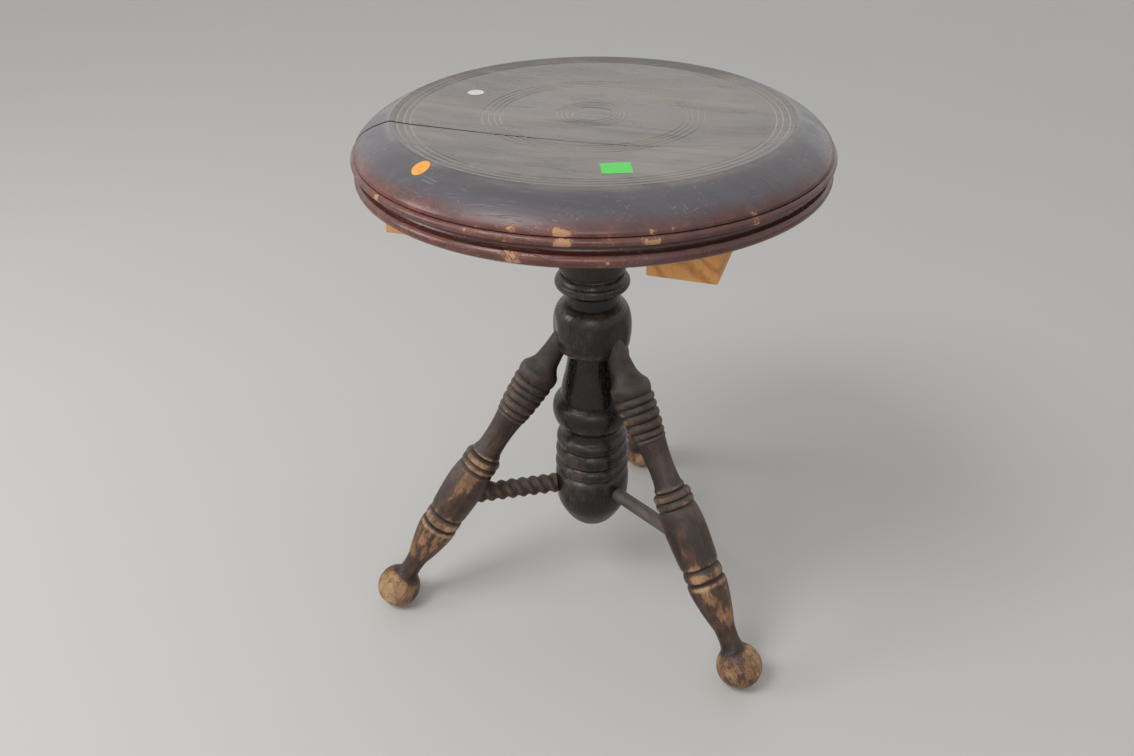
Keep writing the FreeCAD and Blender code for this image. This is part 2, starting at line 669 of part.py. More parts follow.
def twisted_stretcher():
    """A rope-turned rod: a two-lobed section carried along X with a steady twist,
    hollowed at its end to clear the leg, and with a round tenon at each end."""
    length = STRETCHER_END - TWIST_START
    middle = (TWIST_RADIUS + TWIST_CORE_RADIUS) / 2
    swing = (TWIST_RADIUS - TWIST_CORE_RADIUS) / 2
    places = []
    for i in range(16):
        angle = math.radians(360.0 * i / 16)
        radius = middle + swing * math.cos(2 * angle)
        places.append(FreeCAD.Vector(radius * math.cos(angle), radius * math.sin(angle), 0))
    ring = Part.BSplineCurve()
    ring.interpolate(Points=places, PeriodicFlag=True)
    spine = Part.Wire(Part.makeLine(ORIGIN, FreeCAD.Vector(0, 0, length)))
    guide = Part.makeHelix(TWIST_PITCH, length, TWIST_RADIUS)
    pipe = Part.BRepOffsetAPI.MakePipeShell(spine)
    pipe.setAuxiliarySpine(Part.Wire(guide.Edges), True, 0)
    pipe.add(Part.Wire(ring.toShape()))
    pipe.build()
    pipe.makeSolid()
    rope = lay_along_x(pipe.shape(), TWIST_START)
    rope = one_solid(rope.cut(stand_leg(cylinder(LEG_BARREL_RADIUS + SOCKET_GAP, 0, LEG_LENGTH), 0)))
    return one_solid(rope.fuse(round_along_x(STRETCHER_TENON_RADIUS)))


def round_along_x(radius):
    rod = cylinder(radius, 0, STRETCHER_END - STRETCHER_START)
    return lay_along_x(rod, STRETCHER_START)


def up_column(table):
    return stretched(table, COLUMN_TURNED_HEIGHT, COLLAR_LOW - COLUMN_BOTTOM, COLUMN_BOTTOM)


def column_profile():
    """Steps up the column from its foot to its top."""
    top = COLUMN_TOP
    rings = up_column(COLUMN_RINGS)
    steps = [("at", 0, COLUMN_BOTTOM), ("curve", up_column(COLUMN_FOOT))]
    steps += lines(rings[:1]) + arcs(rings[1:])
    steps.append(("curve", up_column(COLUMN_WAIST)))
    steps.append(("curve", up_column(COLUMN_BULB)))
    steps += lines(up_column([COLUMN_BULB_EDGE]))
    steps.append(("curve", up_column(COLUMN_VASE)))
    steps += arcs(up_column([COLUMN_FLARE]) + [(COLLAR_RADIUS, COLLAR_LOW)])
    round_low = COLLAR_HIGH - COLLAR_ROUND_HEIGHT
    neck = COLUMN_TOP_RADIUS - COLUMN_HEAD_NECK
    steps += [
        ("to", COLLAR_RADIUS, round_low),
        ("via", COLLAR_RADIUS - 0.29 * COLLAR_ROUND_DEPTH, round_low + 0.6 * COLLAR_ROUND_HEIGHT,
         COLLAR_RADIUS - COLLAR_ROUND_DEPTH, COLLAR_HIGH),
        ("to", neck, COLLAR_HIGH + 0.6),
        ("to", neck, COLLAR_HIGH + 3.0),
        ("via", COLUMN_TOP_RADIUS + COLUMN_HEAD_BEAD, top - 0.4 * COLUMN_HEAD_HEIGHT,
         COLUMN_TOP_RADIUS + COLUMN_HEAD_TOP, top - 1.4),
        ("to", COLUMN_TOP_RADIUS, top),
        ("to", 0, top),
    ]
    return steps


def make_column():
    top = COLUMN_TOP
    column = turned(column_profile())
    flat = Part.makeBox(
        COLLAR_RADIUS,
        4 * COLLAR_RADIUS,
        top - COLLAR_LOW + COLLAR_ROUND_HEIGHT,
        FreeCAD.Vector(COLLAR_FLAT, -2 * COLLAR_RADIUS, COLLAR_LOW - COLLAR_ROUND_HEIGHT),
    )
    for angle, radius in zip(LEG_ANGLES, STRETCHER_HOLE_RADII):
        column = column.cut(around(flat, angle))
        column = column.cut(stand_leg(leg_socket(), angle))
        column = column.cut(around(round_along_x(radius + FIT), angle))
    column = column.cut(cylinder(BORE_RADIUS, BORE_BOTTOM, top + OVERCUT))
    column = column.cut(cylinder(NUT_RADIUS + FIT, top - NUT_LENGTH, top + OVERCUT))
    flange_low = top - NUT_FLANGE_THICKNESS
    column = column.cut(cylinder(NUT_FLANGE_RADIUS + FIT, flange_low, top + OVERCUT))
    for x, y in circle_places(NUT_SCREW_CIRCLE, 3, NUT_SCREW_ANGLE):
        column = column.cut(nut_screw(x, y, FIT))
    save(one_solid(column), "column")


def make_legs():
    blank = leg_blank()
    size = 3 * FOOT_CIRCLE_RADIUS
    depth = 3 * FOOT_BALL_RADIUS
    floor = Part.makeBox(2 * size, 2 * size, depth, FreeCAD.Vector(-size, -size, -depth))
    for name, angle, radius in zip(LEG_NAMES, LEG_ANGLES, STRETCHER_HOLE_RADII):
        leg = stand_leg(blank, angle).cut(floor)
        leg = leg.cut(around(round_along_x(radius + FIT), angle))
        save(one_solid(leg), name)


def make_stretchers():
    twisted = twisted_stretcher()
    save(around(twisted, LEG_ANGLES[0]), "stretcher_left")
    save(around(twisted, LEG_ANGLES[2]), "stretcher_back")
    save(around(round_along_x(DOWEL_RADIUS), LEG_ANGLES[1]), "stretcher_right")


os.makedirs("parts", exist_ok=True)
make_seat()
make_hub()
make_screw()
make_nut()
make_column()
make_legs()
make_stretchers()
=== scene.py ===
import math

import bmesh
import bpy
from mathutils import Matrix, Vector


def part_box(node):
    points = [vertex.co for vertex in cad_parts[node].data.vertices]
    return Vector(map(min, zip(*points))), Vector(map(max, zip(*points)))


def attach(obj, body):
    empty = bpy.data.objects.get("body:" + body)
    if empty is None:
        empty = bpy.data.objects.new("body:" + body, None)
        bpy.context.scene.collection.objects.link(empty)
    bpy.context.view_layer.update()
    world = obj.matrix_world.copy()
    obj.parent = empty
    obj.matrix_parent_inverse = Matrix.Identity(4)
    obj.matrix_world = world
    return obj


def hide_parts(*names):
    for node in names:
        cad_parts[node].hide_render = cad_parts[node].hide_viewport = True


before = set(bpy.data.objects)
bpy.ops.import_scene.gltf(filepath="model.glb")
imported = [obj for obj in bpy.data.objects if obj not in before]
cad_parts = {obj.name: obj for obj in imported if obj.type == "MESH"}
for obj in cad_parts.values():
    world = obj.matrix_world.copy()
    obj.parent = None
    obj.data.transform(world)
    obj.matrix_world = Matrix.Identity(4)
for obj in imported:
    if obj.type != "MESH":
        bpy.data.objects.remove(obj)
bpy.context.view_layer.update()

bl_info = {
    "name": "Revolving Piano Stool",
    "version": (1, 0, 0),
    "blender": (4, 5, 0),
    "location": "View3D > Sidebar > Piano Stool",
    "description": "Dresses a packed revolving piano stool in worn varnished wood",
    "category": "Add Mesh",
}

MM = 0.001
STEPS_ROUND = 96
FINE_STEPS_ROUND = 192
LEG_ANGLES = {"leg_left": 210.0, "leg_right": 330.0, "leg_back": 90.0}
CARVED_STRETCHERS = {"stretcher_left": "leg_left", "stretcher_back": "leg_back"}

# Radii of the seat's thin rings, in millimetres
RING_GROOVES = (
    15.2, 19.5, 23.1, 26.7,
    68.3, 72.3, 76.6, 81.3,
    132.9, 137.3, 142.3, 147.1,
)
RING_HALF_WIDTH = 0.7

# Knocks on the rim: direction and half width, in degrees
KNOCKS = ((-127, 3), (-109, 4), (-98, 6), (-89.5, 4), (-79, 4), (-70, 4), (-61, 5), (-38, 3))

# Where the seat's look changes: two radii, heights or distances each, in metres
RED_BAND = (0.4430, 0.4320)
LOW_BEAD = (0.4160, 0.4230)
MIDDLE = (0.12, 0.03)
FIELD = (0.161, 0.128)
CREST_INSIDE = (0.1445, 0.1475)
CREST_OUTSIDE = (0.1530, 0.1490)
# how far towards +X the rim's painted shade reaches
SHADED_SIDE = (0.02, 0.13)
HAIRLINE_SPAN = (0.15, 0.0)
HAIRLINE_WIDTH = (0.0011, 0.0003)
HAIRLINE_BOW = 1.9

# Where a leg's look changes: two distances each from the ball's centre, in metres
LEG_WEAR = (0.30, 0.0)
FOOT_WEAR = (0.026, 0.010)
# dust, together with a painted sheen, grows up the leg over these distances
DUST_AND_SHEEN_REACH = (0.03, 0.20)

# Finishes of the smaller pieces
# the hub's dark finish, darkened further as painted shade under the seat
HUB_SHADED_FINISH = (0.028, 0.017, 0.013)
HUB_RUBBED = (0.085, 0.045, 0.032)
ROPE_FINISH = (0.080, 0.045, 0.030)
DOWEL_FINISH = (0.052, 0.042, 0.036)
DOWEL_RUBBED = (0.115, 0.094, 0.080)
DOWEL_BARE = (0.18, 0.14, 0.115)

# Colours of wear and dirt, and of painted shade, highlight and sheen
THIN_RED = (0.20, 0.085, 0.06)
# dark red-brown painted shade in the rim's hollows
RIM_GROOVE_SHADE = (0.030, 0.010, 0.008)
CREST_RUB = (0.33, 0.28, 0.25)
# pale rubbed rings, lightened further as a painted highlight
RING_RUB_AND_HIGHLIGHT = (0.44, 0.36, 0.29)
SCRATCH = (0.42, 0.37, 0.33)
CRACK_DIRT = (0.03, 0.024, 0.02)
# near black painted shade in the hollows of turned pieces
SHADE_IN_HOLLOWS = (0.010, 0.008, 0.007)
# grey dust, also laid on as a painted sheen on faces that look up
DUST_AND_SHEEN = (0.22, 0.185, 0.17)
RUST = (0.11, 0.045, 0.02)

# Colours of pine, and the direction across its growth rings
PINE_EARLY = (0.74, 0.35, 0.095)
PINE_LATE = (0.52, 0.19, 0.036)
PINE_STREAK = (0.66, 0.38, 0.17)
PINE_PORE = (0.22, 0.09, 0.025)
PINE_DIRT = (0.38, 0.17, 0.05)
PINE_RING_NORMAL = (0.55, 0.0, 0.83)

# Lamps: name, place, size and share of the setting's power
LAMPS = (
    ("key lamp", (-0.9, -1.3, 2.3), 1.0, "key", 1.0),
    ("left window", (-1.6, -0.8, 0.95), 0.7, "window", 1.0),
    ("front window", (0.45, -1.9, 1.25), 0.7, "window", 0.8),
)


# Sizes and colours that a user would change


def number(**kind):
    """A short way to write settings of one kind."""

    def setting(name, description, default):
        return bpy.props.FloatProperty(
            name=name, description=description, default=default, **kind
        )

    return setting


length = number(subtype="DISTANCE", unit="LENGTH")
share = number(subtype="FACTOR", min=0, max=1)
power = number(subtype="POWER", unit="POWER", min=0)
angle = number(subtype="ANGLE", unit="ROTATION")
measure = number(min=0)


def colour(name, description, default):
    return bpy.props.FloatVectorProperty(
        name=name, description=description, default=default, subtype="COLOR", size=3, min=0, max=1
    )


class SeatSettings(bpy.types.PropertyGroup):
    """The seat, its battens and its boss."""

    radius: length("Radius", "Greatest radius of the seat's rim", 0.178)
    dish: length("Dish", "How far the flat middle lies below the crest", 0.002)
    joint: length("Board joint", "Distance of each board joint from the middle", 0.062)
    split: length("Split", "Width of the open front joint at the left rim", 0.0028)
    ring_depth: length("Ring depth", "Depth of the thin rings turned in the top", 0.0004)
    batten_lift: length("Batten lift", "How far the screw heads stand out of a batten", 0.00005)
    varnish: colour("Varnish", "Old varnish on the seat's top", (0.088, 0.070, 0.063))
    # rubbed varnish, painted lighter and greyer as a painted sheen on the top
    sheen: colour("Dulled varnish and painted sheen", "Rubbed grey varnish on the top", (0.250, 0.213, 0.190))
    # dark varnish, tinted bluish as a painted reflection on the roll
    roll: colour("Roll varnish and painted reflection", "Varnish on the rounded edge", (0.088, 0.081, 0.094))
    red: colour("Red varnish", "Varnish low on the rim", (0.165, 0.042, 0.028))
    bare: colour("Bare wood", "Wood where the varnish is chipped away", (0.48, 0.25, 0.135))
    wear: share("Wear", "How much varnish is chipped off the front of the rim", 0.45)
    sticker_side: length("Square sticker", "Side of the square paper sticker", 0.020)
    sticker_dot: length("Round stickers", "Diameter of the round paper stickers", 0.0126)


class LegSettings(bpy.types.PropertyGroup):
    """The three turned legs and the stretchers."""

    foot_circle: length("Foot circle", "Distance of each foot's centre from the axis", 0.18275)
    foot_height: length("Foot height", "Height of the ball foot's centre", 0.0188)
    ball: length("Ball radius", "Radius of the ball foot", 0.0192)
    top_reach: length("Top reach", "Distance of the leg's top from the axis", 0.030)
    top_height: length("Top height", "Height of the leg's top", 0.256)
    finish: colour("Finish", "Black brown finish", (0.032, 0.017, 0.012))
    rubbed: colour("Rubbed finish", "Finish where it is rubbed thin", (0.105, 0.055, 0.034))
    bare: colour("Bare wood", "Wood where the finish is worn away", (0.34, 0.185, 0.095))
    raw: colour("Raw wood", "Pale wood in the middle of the barest places", (0.48, 0.30, 0.15))
    # the dust also lays a painted sheen on what faces up
    dust: share("Dust", "How much dust lies on what faces up", 0.26)
    wear: share("Wear", "How much finish is worn off near the feet", 0.47)
    rope_radius: length("Rope radius", "Radius over the strands of a rope-turned stretcher", 0.0089)
    rope_core: length("Rope core", "Radius in the hollows of a rope-turned stretcher", 0.0070)
    rope_pitch: length("Rope pitch", "Length of one full twist", 0.019)
    height: length("Stretcher height", "Height of the stretchers' centre lines", 0.1135)


class ColumnSettings(bpy.types.PropertyGroup):
    """The column and the screw inside it."""

    flat: length("Collar flat", "Distance of the collar's flats from the axis", 0.0308)
    bore: length("Bore", "Radius of the bore under the nut", 0.0134)
    finish: colour("Finish", "Black finish", (0.012, 0.010, 0.009))
    rubbed: colour("Rubbed finish", "Finish where it is rubbed thin", (0.075, 0.055, 0.046))
    bare: colour("Bare wood", "Wood where the finish is worn away", (0.15, 0.09, 0.052))


class StageSettings(bpy.types.PropertyGroup):
    """Floor, light and camera."""

    floor: colour("Floor", "Colour of the floor", (0.62, 0.61, 0.59))
    world: measure("World", "Strength of the light from all round", 0.45)
    key: power("Key lamp", "Power of the soft key lamp", 25.0)
    window: power("Window lamps", "Power of the low lamps that light the legs", 7.5)
    lens: measure("Lens", "Focal length of the camera in millimetres", 32.81)
    place: bpy.props.FloatVectorProperty(
        name="Camera place", description="Where the camera stands", subtype="TRANSLATION",
        unit="LENGTH", size=3, default=(0.2197, -0.7118, 0.689),
    )
    heading: angle("Heading", "Direction that the camera faces, from +X", math.radians(108.80))
    dip: angle("Dip", "How far the camera looks down", math.radians(32.19))
    roll: angle("Roll", "Clockwise roll of the camera", math.radians(0.775))


# Turning outlines, in millimetres as (radius, height)


def through_three(a, b, c, count=10):
    """Points along the arc from a over b to c, without a."""
    ax, ay, bx, by, cx, cy = *a, *b, *c
    d = 2 * (ax * (by - cy) + bx * (cy - ay) + cx * (ay - by))
    aa, bb, cc = (x * x + y * y for x, y in (a, b, c))
    ux = (aa * (by - cy) + bb * (cy - ay) + cc * (ay - by)) / d
    uy = (aa * (cx - bx) + bb * (ax - cx) + cc * (bx - ax)) / d
    start = math.atan2(ay - uy, ax - ux)
    over = (math.atan2(by - uy, bx - ux) - start) % math.tau
    sweep = (math.atan2(cy - uy, cx - ux) - start) % math.tau
    if over > sweep:
        sweep -= math.tau
    radius = math.hypot(ax - ux, ay - uy)
    angles = [start + sweep * i / count for i in range(1, count + 1)]
    return [(ux + radius * math.cos(t), uy + radius * math.sin(t)) for t in angles]


def smooth_through(places, count=5):
    """Points along a smooth curve through the places, without the first."""
    ends = [
        tuple(2 * a - b for a, b in zip(places[0], places[1])),
        *places,
        tuple(2 * a - b for a, b in zip(places[-1], places[-2])),
    ]
    out = []
    for i in range(1, len(ends) - 2):
        p0, p1, p2, p3 = (Vector(p) for p in ends[i - 1 : i + 3])
        for k in range(1, count + 1):
            t = k / count
            point = (
                2 * p1
                + (p2 - p0) * t
                + (2 * p0 - 5 * p1 + 4 * p2 - p3) * t * t
                + (3 * p1 - p0 - 3 * p2 + p3) * t * t * t
            ) / 2
            out.append(tuple(point))
    return out


def outline(steps, longest=6):
    """All points of an outline given as at, to, via and curve steps."""
    points = []
    for step in steps:
        kind = step[0]
        if kind == "at":
            points.append(step[1:3])
        elif kind == "to":
            start, end = points[-1], step[1:3]
            count = max(1, round(math.dist(start, end) / longest))
            for k in range(1, count + 1):
                t = k / count
                points.append(tuple(a + (b - a) * t for a, b in zip(start, end)))
        elif kind == "via":
            points += through_three(points[-1], step[1:3], step[3:5])
        else:
            points += smooth_through([points[-1], *step[1]])
    return points


def crests(points, span=2.4, full=0.7):
    """How far each point stands out from its neighbours, from -1 in a groove to 1.
    Outlines run so that the wood lies on their left."""
    out = []
    for i, here in enumerate(points):
        sides = []
        for direction in (-1, 1):
            j = i
            gone = 0.0
            while 0 <= j + direction < len(points) and gone < span:
                gone += math.dist(points[j], points[j + direction])
                j += direction
            sides.append(Vector(points[j]))
        across = (sides[1] - sides[0]).normalized()
        outward = Vector((across.y, -across.x))
        stands = (Vector(here) - (sides[0] + sides[1]) / 2).dot(outward)
        out.append(max(-1.0, min(1.0, stands / full)))
    return out


def turned(points, steps=STEPS_ROUND):
    """A bmesh spun about Z from an outline, with its crest and height kept on each vertex."""
    bm = bmesh.new()
    crest_layer = bm.verts.layers.float.new("crest")
    along_layer = bm.verts.layers.float.new("along")
    verts = []
    for (radius, height), crest in zip(points, crests(points)):
        vert = bm.verts.new((radius * MM, 0, height * MM))
        vert[crest_layer] = crest
        vert[along_layer] = height * MM
        verts.append(vert)
    edges = [bm.edges.new(pair) for pair in zip(verts, verts[1:])]
    bmesh.ops.spin(
        bm, geom=verts + edges, cent=(0, 0, 0), axis=(0, 0, 1), angle=math.tau,
        steps=steps, use_merge=True,
    )
    bmesh.ops.remove_doubles(bm, verts=bm.verts, dist=1e-6)
    bmesh.ops.recalc_face_normals(bm, faces=bm.faces)
    return bm


def box_height(node):
    """Lowest and highest Z of a CAD node, in millimetres."""
    low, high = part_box(node)
    return low[2] / MM, high[2] / MM


def move(bm, matrix):
    bmesh.ops.transform(bm, matrix=matrix, verts=bm.verts)


def turned_by(degrees):
    return Matrix.Rotation(math.radians(degrees), 4, "Z")


def keep_side(bm, place, normal):
    """Cuts away what lies past a plane, on the side its normal points to, and closes the cut."""
    geom = bm.verts[:] + bm.edges[:] + bm.faces[:]
    cut = bmesh.ops.bisect_plane(
        bm, geom=geom, plane_co=place, plane_no=normal, clear_outer=True, dist=1e-7
    )
    edges = [e for e in cut["geom_cut"] if isinstance(e, bmesh.types.BMEdge)]
    bmesh.ops.holes_fill(bm, edges=edges, sides=0)


def linked(name, data):
    """A new object with its data, linked to the scene."""
    thing = bpy.data.objects.new(name, data)
    bpy.context.scene.collection.objects.link(thing)
    return thing


def finish_piece(bm, name, body, replaced, material, sharp=35.0):
    """Turns a bmesh into a piece that rides on its body, in place of CAD nodes if any."""
    mesh = bpy.data.meshes.new(name)
    bmesh.ops.recalc_face_normals(bm, faces=bm.faces)
    bm.to_mesh(mesh)
    bm.free()
    for polygon in mesh.polygons:
        polygon.use_smooth = True
    mesh.set_sharp_from_angle(angle=math.radians(sharp))
    mesh.materials.append(material)
    piece = linked(name, mesh)
    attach(piece, body)
    if replaced:
        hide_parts(*replaced)


class Graph:
    """Short ways to add nodes to a material or a node group."""

    def __init__(self, tree):
        self.tree = tree

    def add(self, kind, inputs=None, **settings):
        node = self.tree.nodes.new(kind)
        for key, value in settings.items():
            setattr(node, key, value)
        for key, value in (inputs or {}).items():
            self.put(node, key, value)
        return node

    def put(self, node, key, value):
        if isinstance(value, bpy.types.NodeSocket):
            self.tree.links.new(value, node.inputs[key])
        else:
            node.inputs[key].default_value = value

    def place(self):
        return self.add("ShaderNodeTexCoord").outputs["Object"]

    def attribute(self, name):
        return self.add("ShaderNodeAttribute", attribute_name=name).outputs["Fac"]

    def math(self, operation, *values, clamp=False):
        inputs = dict(enumerate(values))
        node = self.add("ShaderNodeMath", inputs, operation=operation, use_clamp=clamp)
        return node.outputs[0]

    def plus(self, first, *terms):
        for term in terms:
            first = self.math("ADD", first, term)
        return first

    def times(self, first, *factors):
        for factor in factors:
            first = self.math("MULTIPLY", first, factor)
        return first

    def weighted(self, *pairs):
        """The sum of some values, each times its weight."""
        return self.plus(*(self.times(value, weight) for value, weight in pairs))

    def vector(self, operation, *values):
        node = self.add("ShaderNodeVectorMath", dict(enumerate(values)), operation=operation)
        plain = operation in ("LENGTH", "DOT_PRODUCT")
        return node.outputs["Value" if plain else "Vector"]

    def squeezed(self, vector, stretch):
        """A vector with a shorter X, so that a pattern drawn with it is longer along X."""
        shrink = self.add("ShaderNodeCombineXYZ", {0: stretch, 1: 1.0, 2: 1.0}).outputs[0]
        return self.vector("MULTIPLY", vector, shrink)

    def mix(self, factor, first, second):
        """Mixes two colours, each a node's output or three numbers."""
        inputs = {0: factor}
        for key, shade in ((6, first), (7, second)):
            inputs[key] = shade if isinstance(shade, bpy.types.NodeSocket) else (*shade, 1.0)
        return self.add("ShaderNodeMix", inputs, data_type="RGBA").outputs[2]

    def over(self, under, paint, *masks):
        """Lays a paint over what is under it, where all the masks are high."""
        return self.mix(self.times(*masks), under, paint)

    def smooth(self, value, low, high, start=0.0, end=1.0):
        """Goes softly from start to end as the value goes from low to high."""
        inputs = {0: value, 1: low, 2: high, 3: start, 4: end}
        node = self.add("ShaderNodeMapRange", inputs, interpolation_type="SMOOTHSTEP")
        return node.outputs[0]

    def noise(self, vector, scale, detail=2.0, roughness=0.5, distortion=0.0):
        inputs = {
            "Vector": vector, "Scale": scale, "Detail": detail,
            "Roughness": roughness, "Distortion": distortion,
        }
        return self.add("ShaderNodeTexNoise", inputs).outputs[0]

    def effect(self, name, **inputs):
        """Adds a shared effect, made the first time that it is asked for. Returns its outputs."""
        tree = bpy.data.node_groups.get(name) or EFFECTS[name](name)
        node = self.add("ShaderNodeGroup", node_tree=tree)
        for key, value in inputs.items():
            self.put(node, key.title(), value)
        return node.outputs


def new_group(name, floats, outputs):
    """A node group with a vector and some floats as inputs.
    Returns it, its graph, its inputs and its output node."""
    tree = bpy.data.node_groups.new(name, "ShaderNodeTree")
    tree.interface.new_socket("Vector", in_out="INPUT", socket_type="NodeSocketVector")
    for label, default in floats.items():
        socket = tree.interface.new_socket(label, in_out="INPUT", socket_type="NodeSocketFloat")
        socket.default_value = default
    for label in outputs:
        tree.interface.new_socket(label, in_out="OUTPUT", socket_type="NodeSocketFloat")
    graph = Graph(tree)
    return tree, graph, graph.add("NodeGroupInput").outputs, graph.add("NodeGroupOutput")


def grain_group(name):
    """Wood grain running along the X of its vector: broad streaks and fine pores."""
    floats = {"Scale": 150.0, "Stretch": 0.06}
    tree, graph, given, out = new_group(name, floats, ["Streaks", "Pores"])
    along = graph.squeezed(given["Vector"], given["Stretch"])
    broad = graph.noise(along, given["Scale"], 5.0, 0.6, 0.6)
    fine = graph.noise(along, graph.times(given["Scale"], 5.0), 2.0, 0.5, 0.2)
    graph.put(out, "Streaks", graph.smooth(broad, 0.36, 0.66))
    graph.put(out, "Pores", graph.smooth(fine, 0.58, 0.70))
    return tree


def wear_group(name):
    """Where a finish is rubbed thin, gone (Bare), or worn to pale wood (Raw), most on crests."""
    floats = {"Crest": 0.0, "Amount": 0.4, "Edge": 0.12, "Scale": 90.0}
    tree, graph, given, out = new_group(name, floats, ["Bare", "Thin", "Raw"])
    patches = graph.noise(given["Vector"], graph.times(given["Scale"], 0.22), 3.0, 0.55)
    chips = graph.noise(given["Vector"], given["Scale"], 7.0, 0.68, 0.3)
    level = graph.weighted(
        (patches, 0.6), (chips, 0.4), (given["Crest"], given["Edge"]), (given["Amount"], 0.4)
    )
    for output, low, high in (("Bare", 0.705, 0.74), ("Thin", 0.57, 0.72), ("Raw", 0.77, 0.84)):
        graph.put(out, output, graph.smooth(level, low, high))
    return tree


def grime_and_shade_group(name):
    """Painted shade that darkens hollows, and dirt in soft cloudy patches."""
    floats = {"Crest": 0.0, "Scale": 30.0}
    tree, graph, given, out = new_group(name, floats, ["Hollows", "Clouds"])
    clouds = graph.noise(given["Vector"], given["Scale"], 5.0, 0.6, 0.8)
    hollow = graph.math("MULTIPLY", given["Crest"], -1.0, clamp=True)
    broken = graph.smooth(clouds, 0.3, 0.6, 0.35, 1.0)
    graph.put(out, "Hollows", graph.times(hollow, broken))
    graph.put(out, "Clouds", graph.smooth(clouds, 0.38, 0.64))
    return tree


def scratch_group(name):
    """Thin straight scratches in two directions, and small dents."""
    floats = {"Scale": 600.0, "Stretch": 0.05}
    tree, graph, given, out = new_group(name, floats, ["Lines", "Dents"])
    lines = []
    for turn in (0.5, -0.9):
        inputs = {"Vector": given["Vector"], "Rotation": (0, 0, turn)}
        turned_vector = graph.add("ShaderNodeMapping", inputs).outputs[0]
        long = graph.squeezed(turned_vector, given["Stretch"])
        lines.append(graph.smooth(graph.noise(long, given["Scale"], 0.0), 0.70, 0.80))
    gate = graph.noise(given["Vector"], graph.times(given["Scale"], 0.04), 2.0)
    both = graph.math("MAXIMUM", *lines)
    graph.put(out, "Lines", graph.times(both, graph.smooth(gate, 0.48, 0.60)))
    dents = graph.noise(given["Vector"], graph.times(given["Scale"], 0.4), 3.0)
    graph.put(out, "Dents", graph.smooth(dents, 0.66, 0.74))
    return tree


EFFECTS = {
    "Wood Grain": grain_group,
    "Worn Finish": wear_group,
    "Grime": grime_and_shade_group,
    "Scratches": scratch_group,
}


def new_material(name):
    """A material with a Principled BSDF. Returns it, its graph and the shader node."""
    material = bpy.data.materials.new(name)
    material.use_nodes = True
    return material, Graph(material.node_tree), material.node_tree.nodes["Principled BSDF"]


def darker(value, factor):
    return tuple(part * factor for part in value)


def surface(graph, shader, look, rough, height, depth):
    """Gives a shader its colour, its roughness and a relief of some depth in metres."""
    inputs = {"Strength": 1.0, "Distance": depth, "Height": height}
    graph.put(shader, "Base Color", look)
    graph.put(shader, "Roughness", rough)
    graph.put(shader, "Normal", graph.add("ShaderNodeBump", inputs).outputs[0])


def laid_along(graph, source, direction):
    """Coordinates turned so that the grain, which runs along a direction, lies along X."""
    turn = Vector(direction).to_track_quat("X", "Z").to_matrix().inverted().to_euler()
    return graph.add("ShaderNodeMapping", {"Vector": source, "Rotation": turn}).outputs[0]


def knocks(graph, parts):
    """Where the rim was knocked: 1 in the middle of each knock, less on the low bead."""
    around = graph.math("ARCTAN2", parts["Y"], parts["X"])
    knocked = 0.0
    for degrees, width in KNOCKS:
        off = graph.math("ABSOLUTE", graph.math("SUBTRACT", around, math.radians(degrees)))
        knock = graph.smooth(off, math.radians(width), 0.0)
        knocked = graph.math("MAXIMUM", knock, knocked)
    return graph.times(knocked, graph.smooth(parts["Z"], *LOW_BEAD, 0.55, 1.0))


def hairline(graph, parts, joint):
    """Dirt along the open joint, carried on as a hairline that bends back."""
    right_of = graph.math("MAXIMUM", parts["X"], 0.0)
    bow = graph.times(right_of, right_of, HAIRLINE_BOW)
    off = graph.math("SUBTRACT", graph.math("SUBTRACT", parts["Y"], bow), -joint)
    near = graph.smooth(graph.math("ABSOLUTE", off), *HAIRLINE_WIDTH)
    return graph.times(near, graph.smooth(parts["X"], *HAIRLINE_SPAN, 0.0, 0.85))


def seat_top_colour(graph, seat, reach, grain, clouds):
    """Rubbed varnish with a grey painted sheen on the flat top, and dark varnish with a bluish
    painted reflection on the roll round it.
    """
    top = graph.mix(clouds, seat.varnish, seat.sheen)
    # the middle of the top gets more of the painted sheen
    top = graph.over(top, seat.sheen, graph.smooth(reach, *MIDDLE, 0.0, 0.8), grain["Streaks"])
    top = graph.over(top, seat.varnish, grain["Streaks"], 0.25)
    roll = graph.mix(grain["Streaks"], darker(seat.roll, 0.8), seat.roll)
    roll = graph.over(roll, darker(seat.roll, 1.4), clouds, 0.35)
    return graph.over(roll, top, graph.smooth(reach, *FIELD))


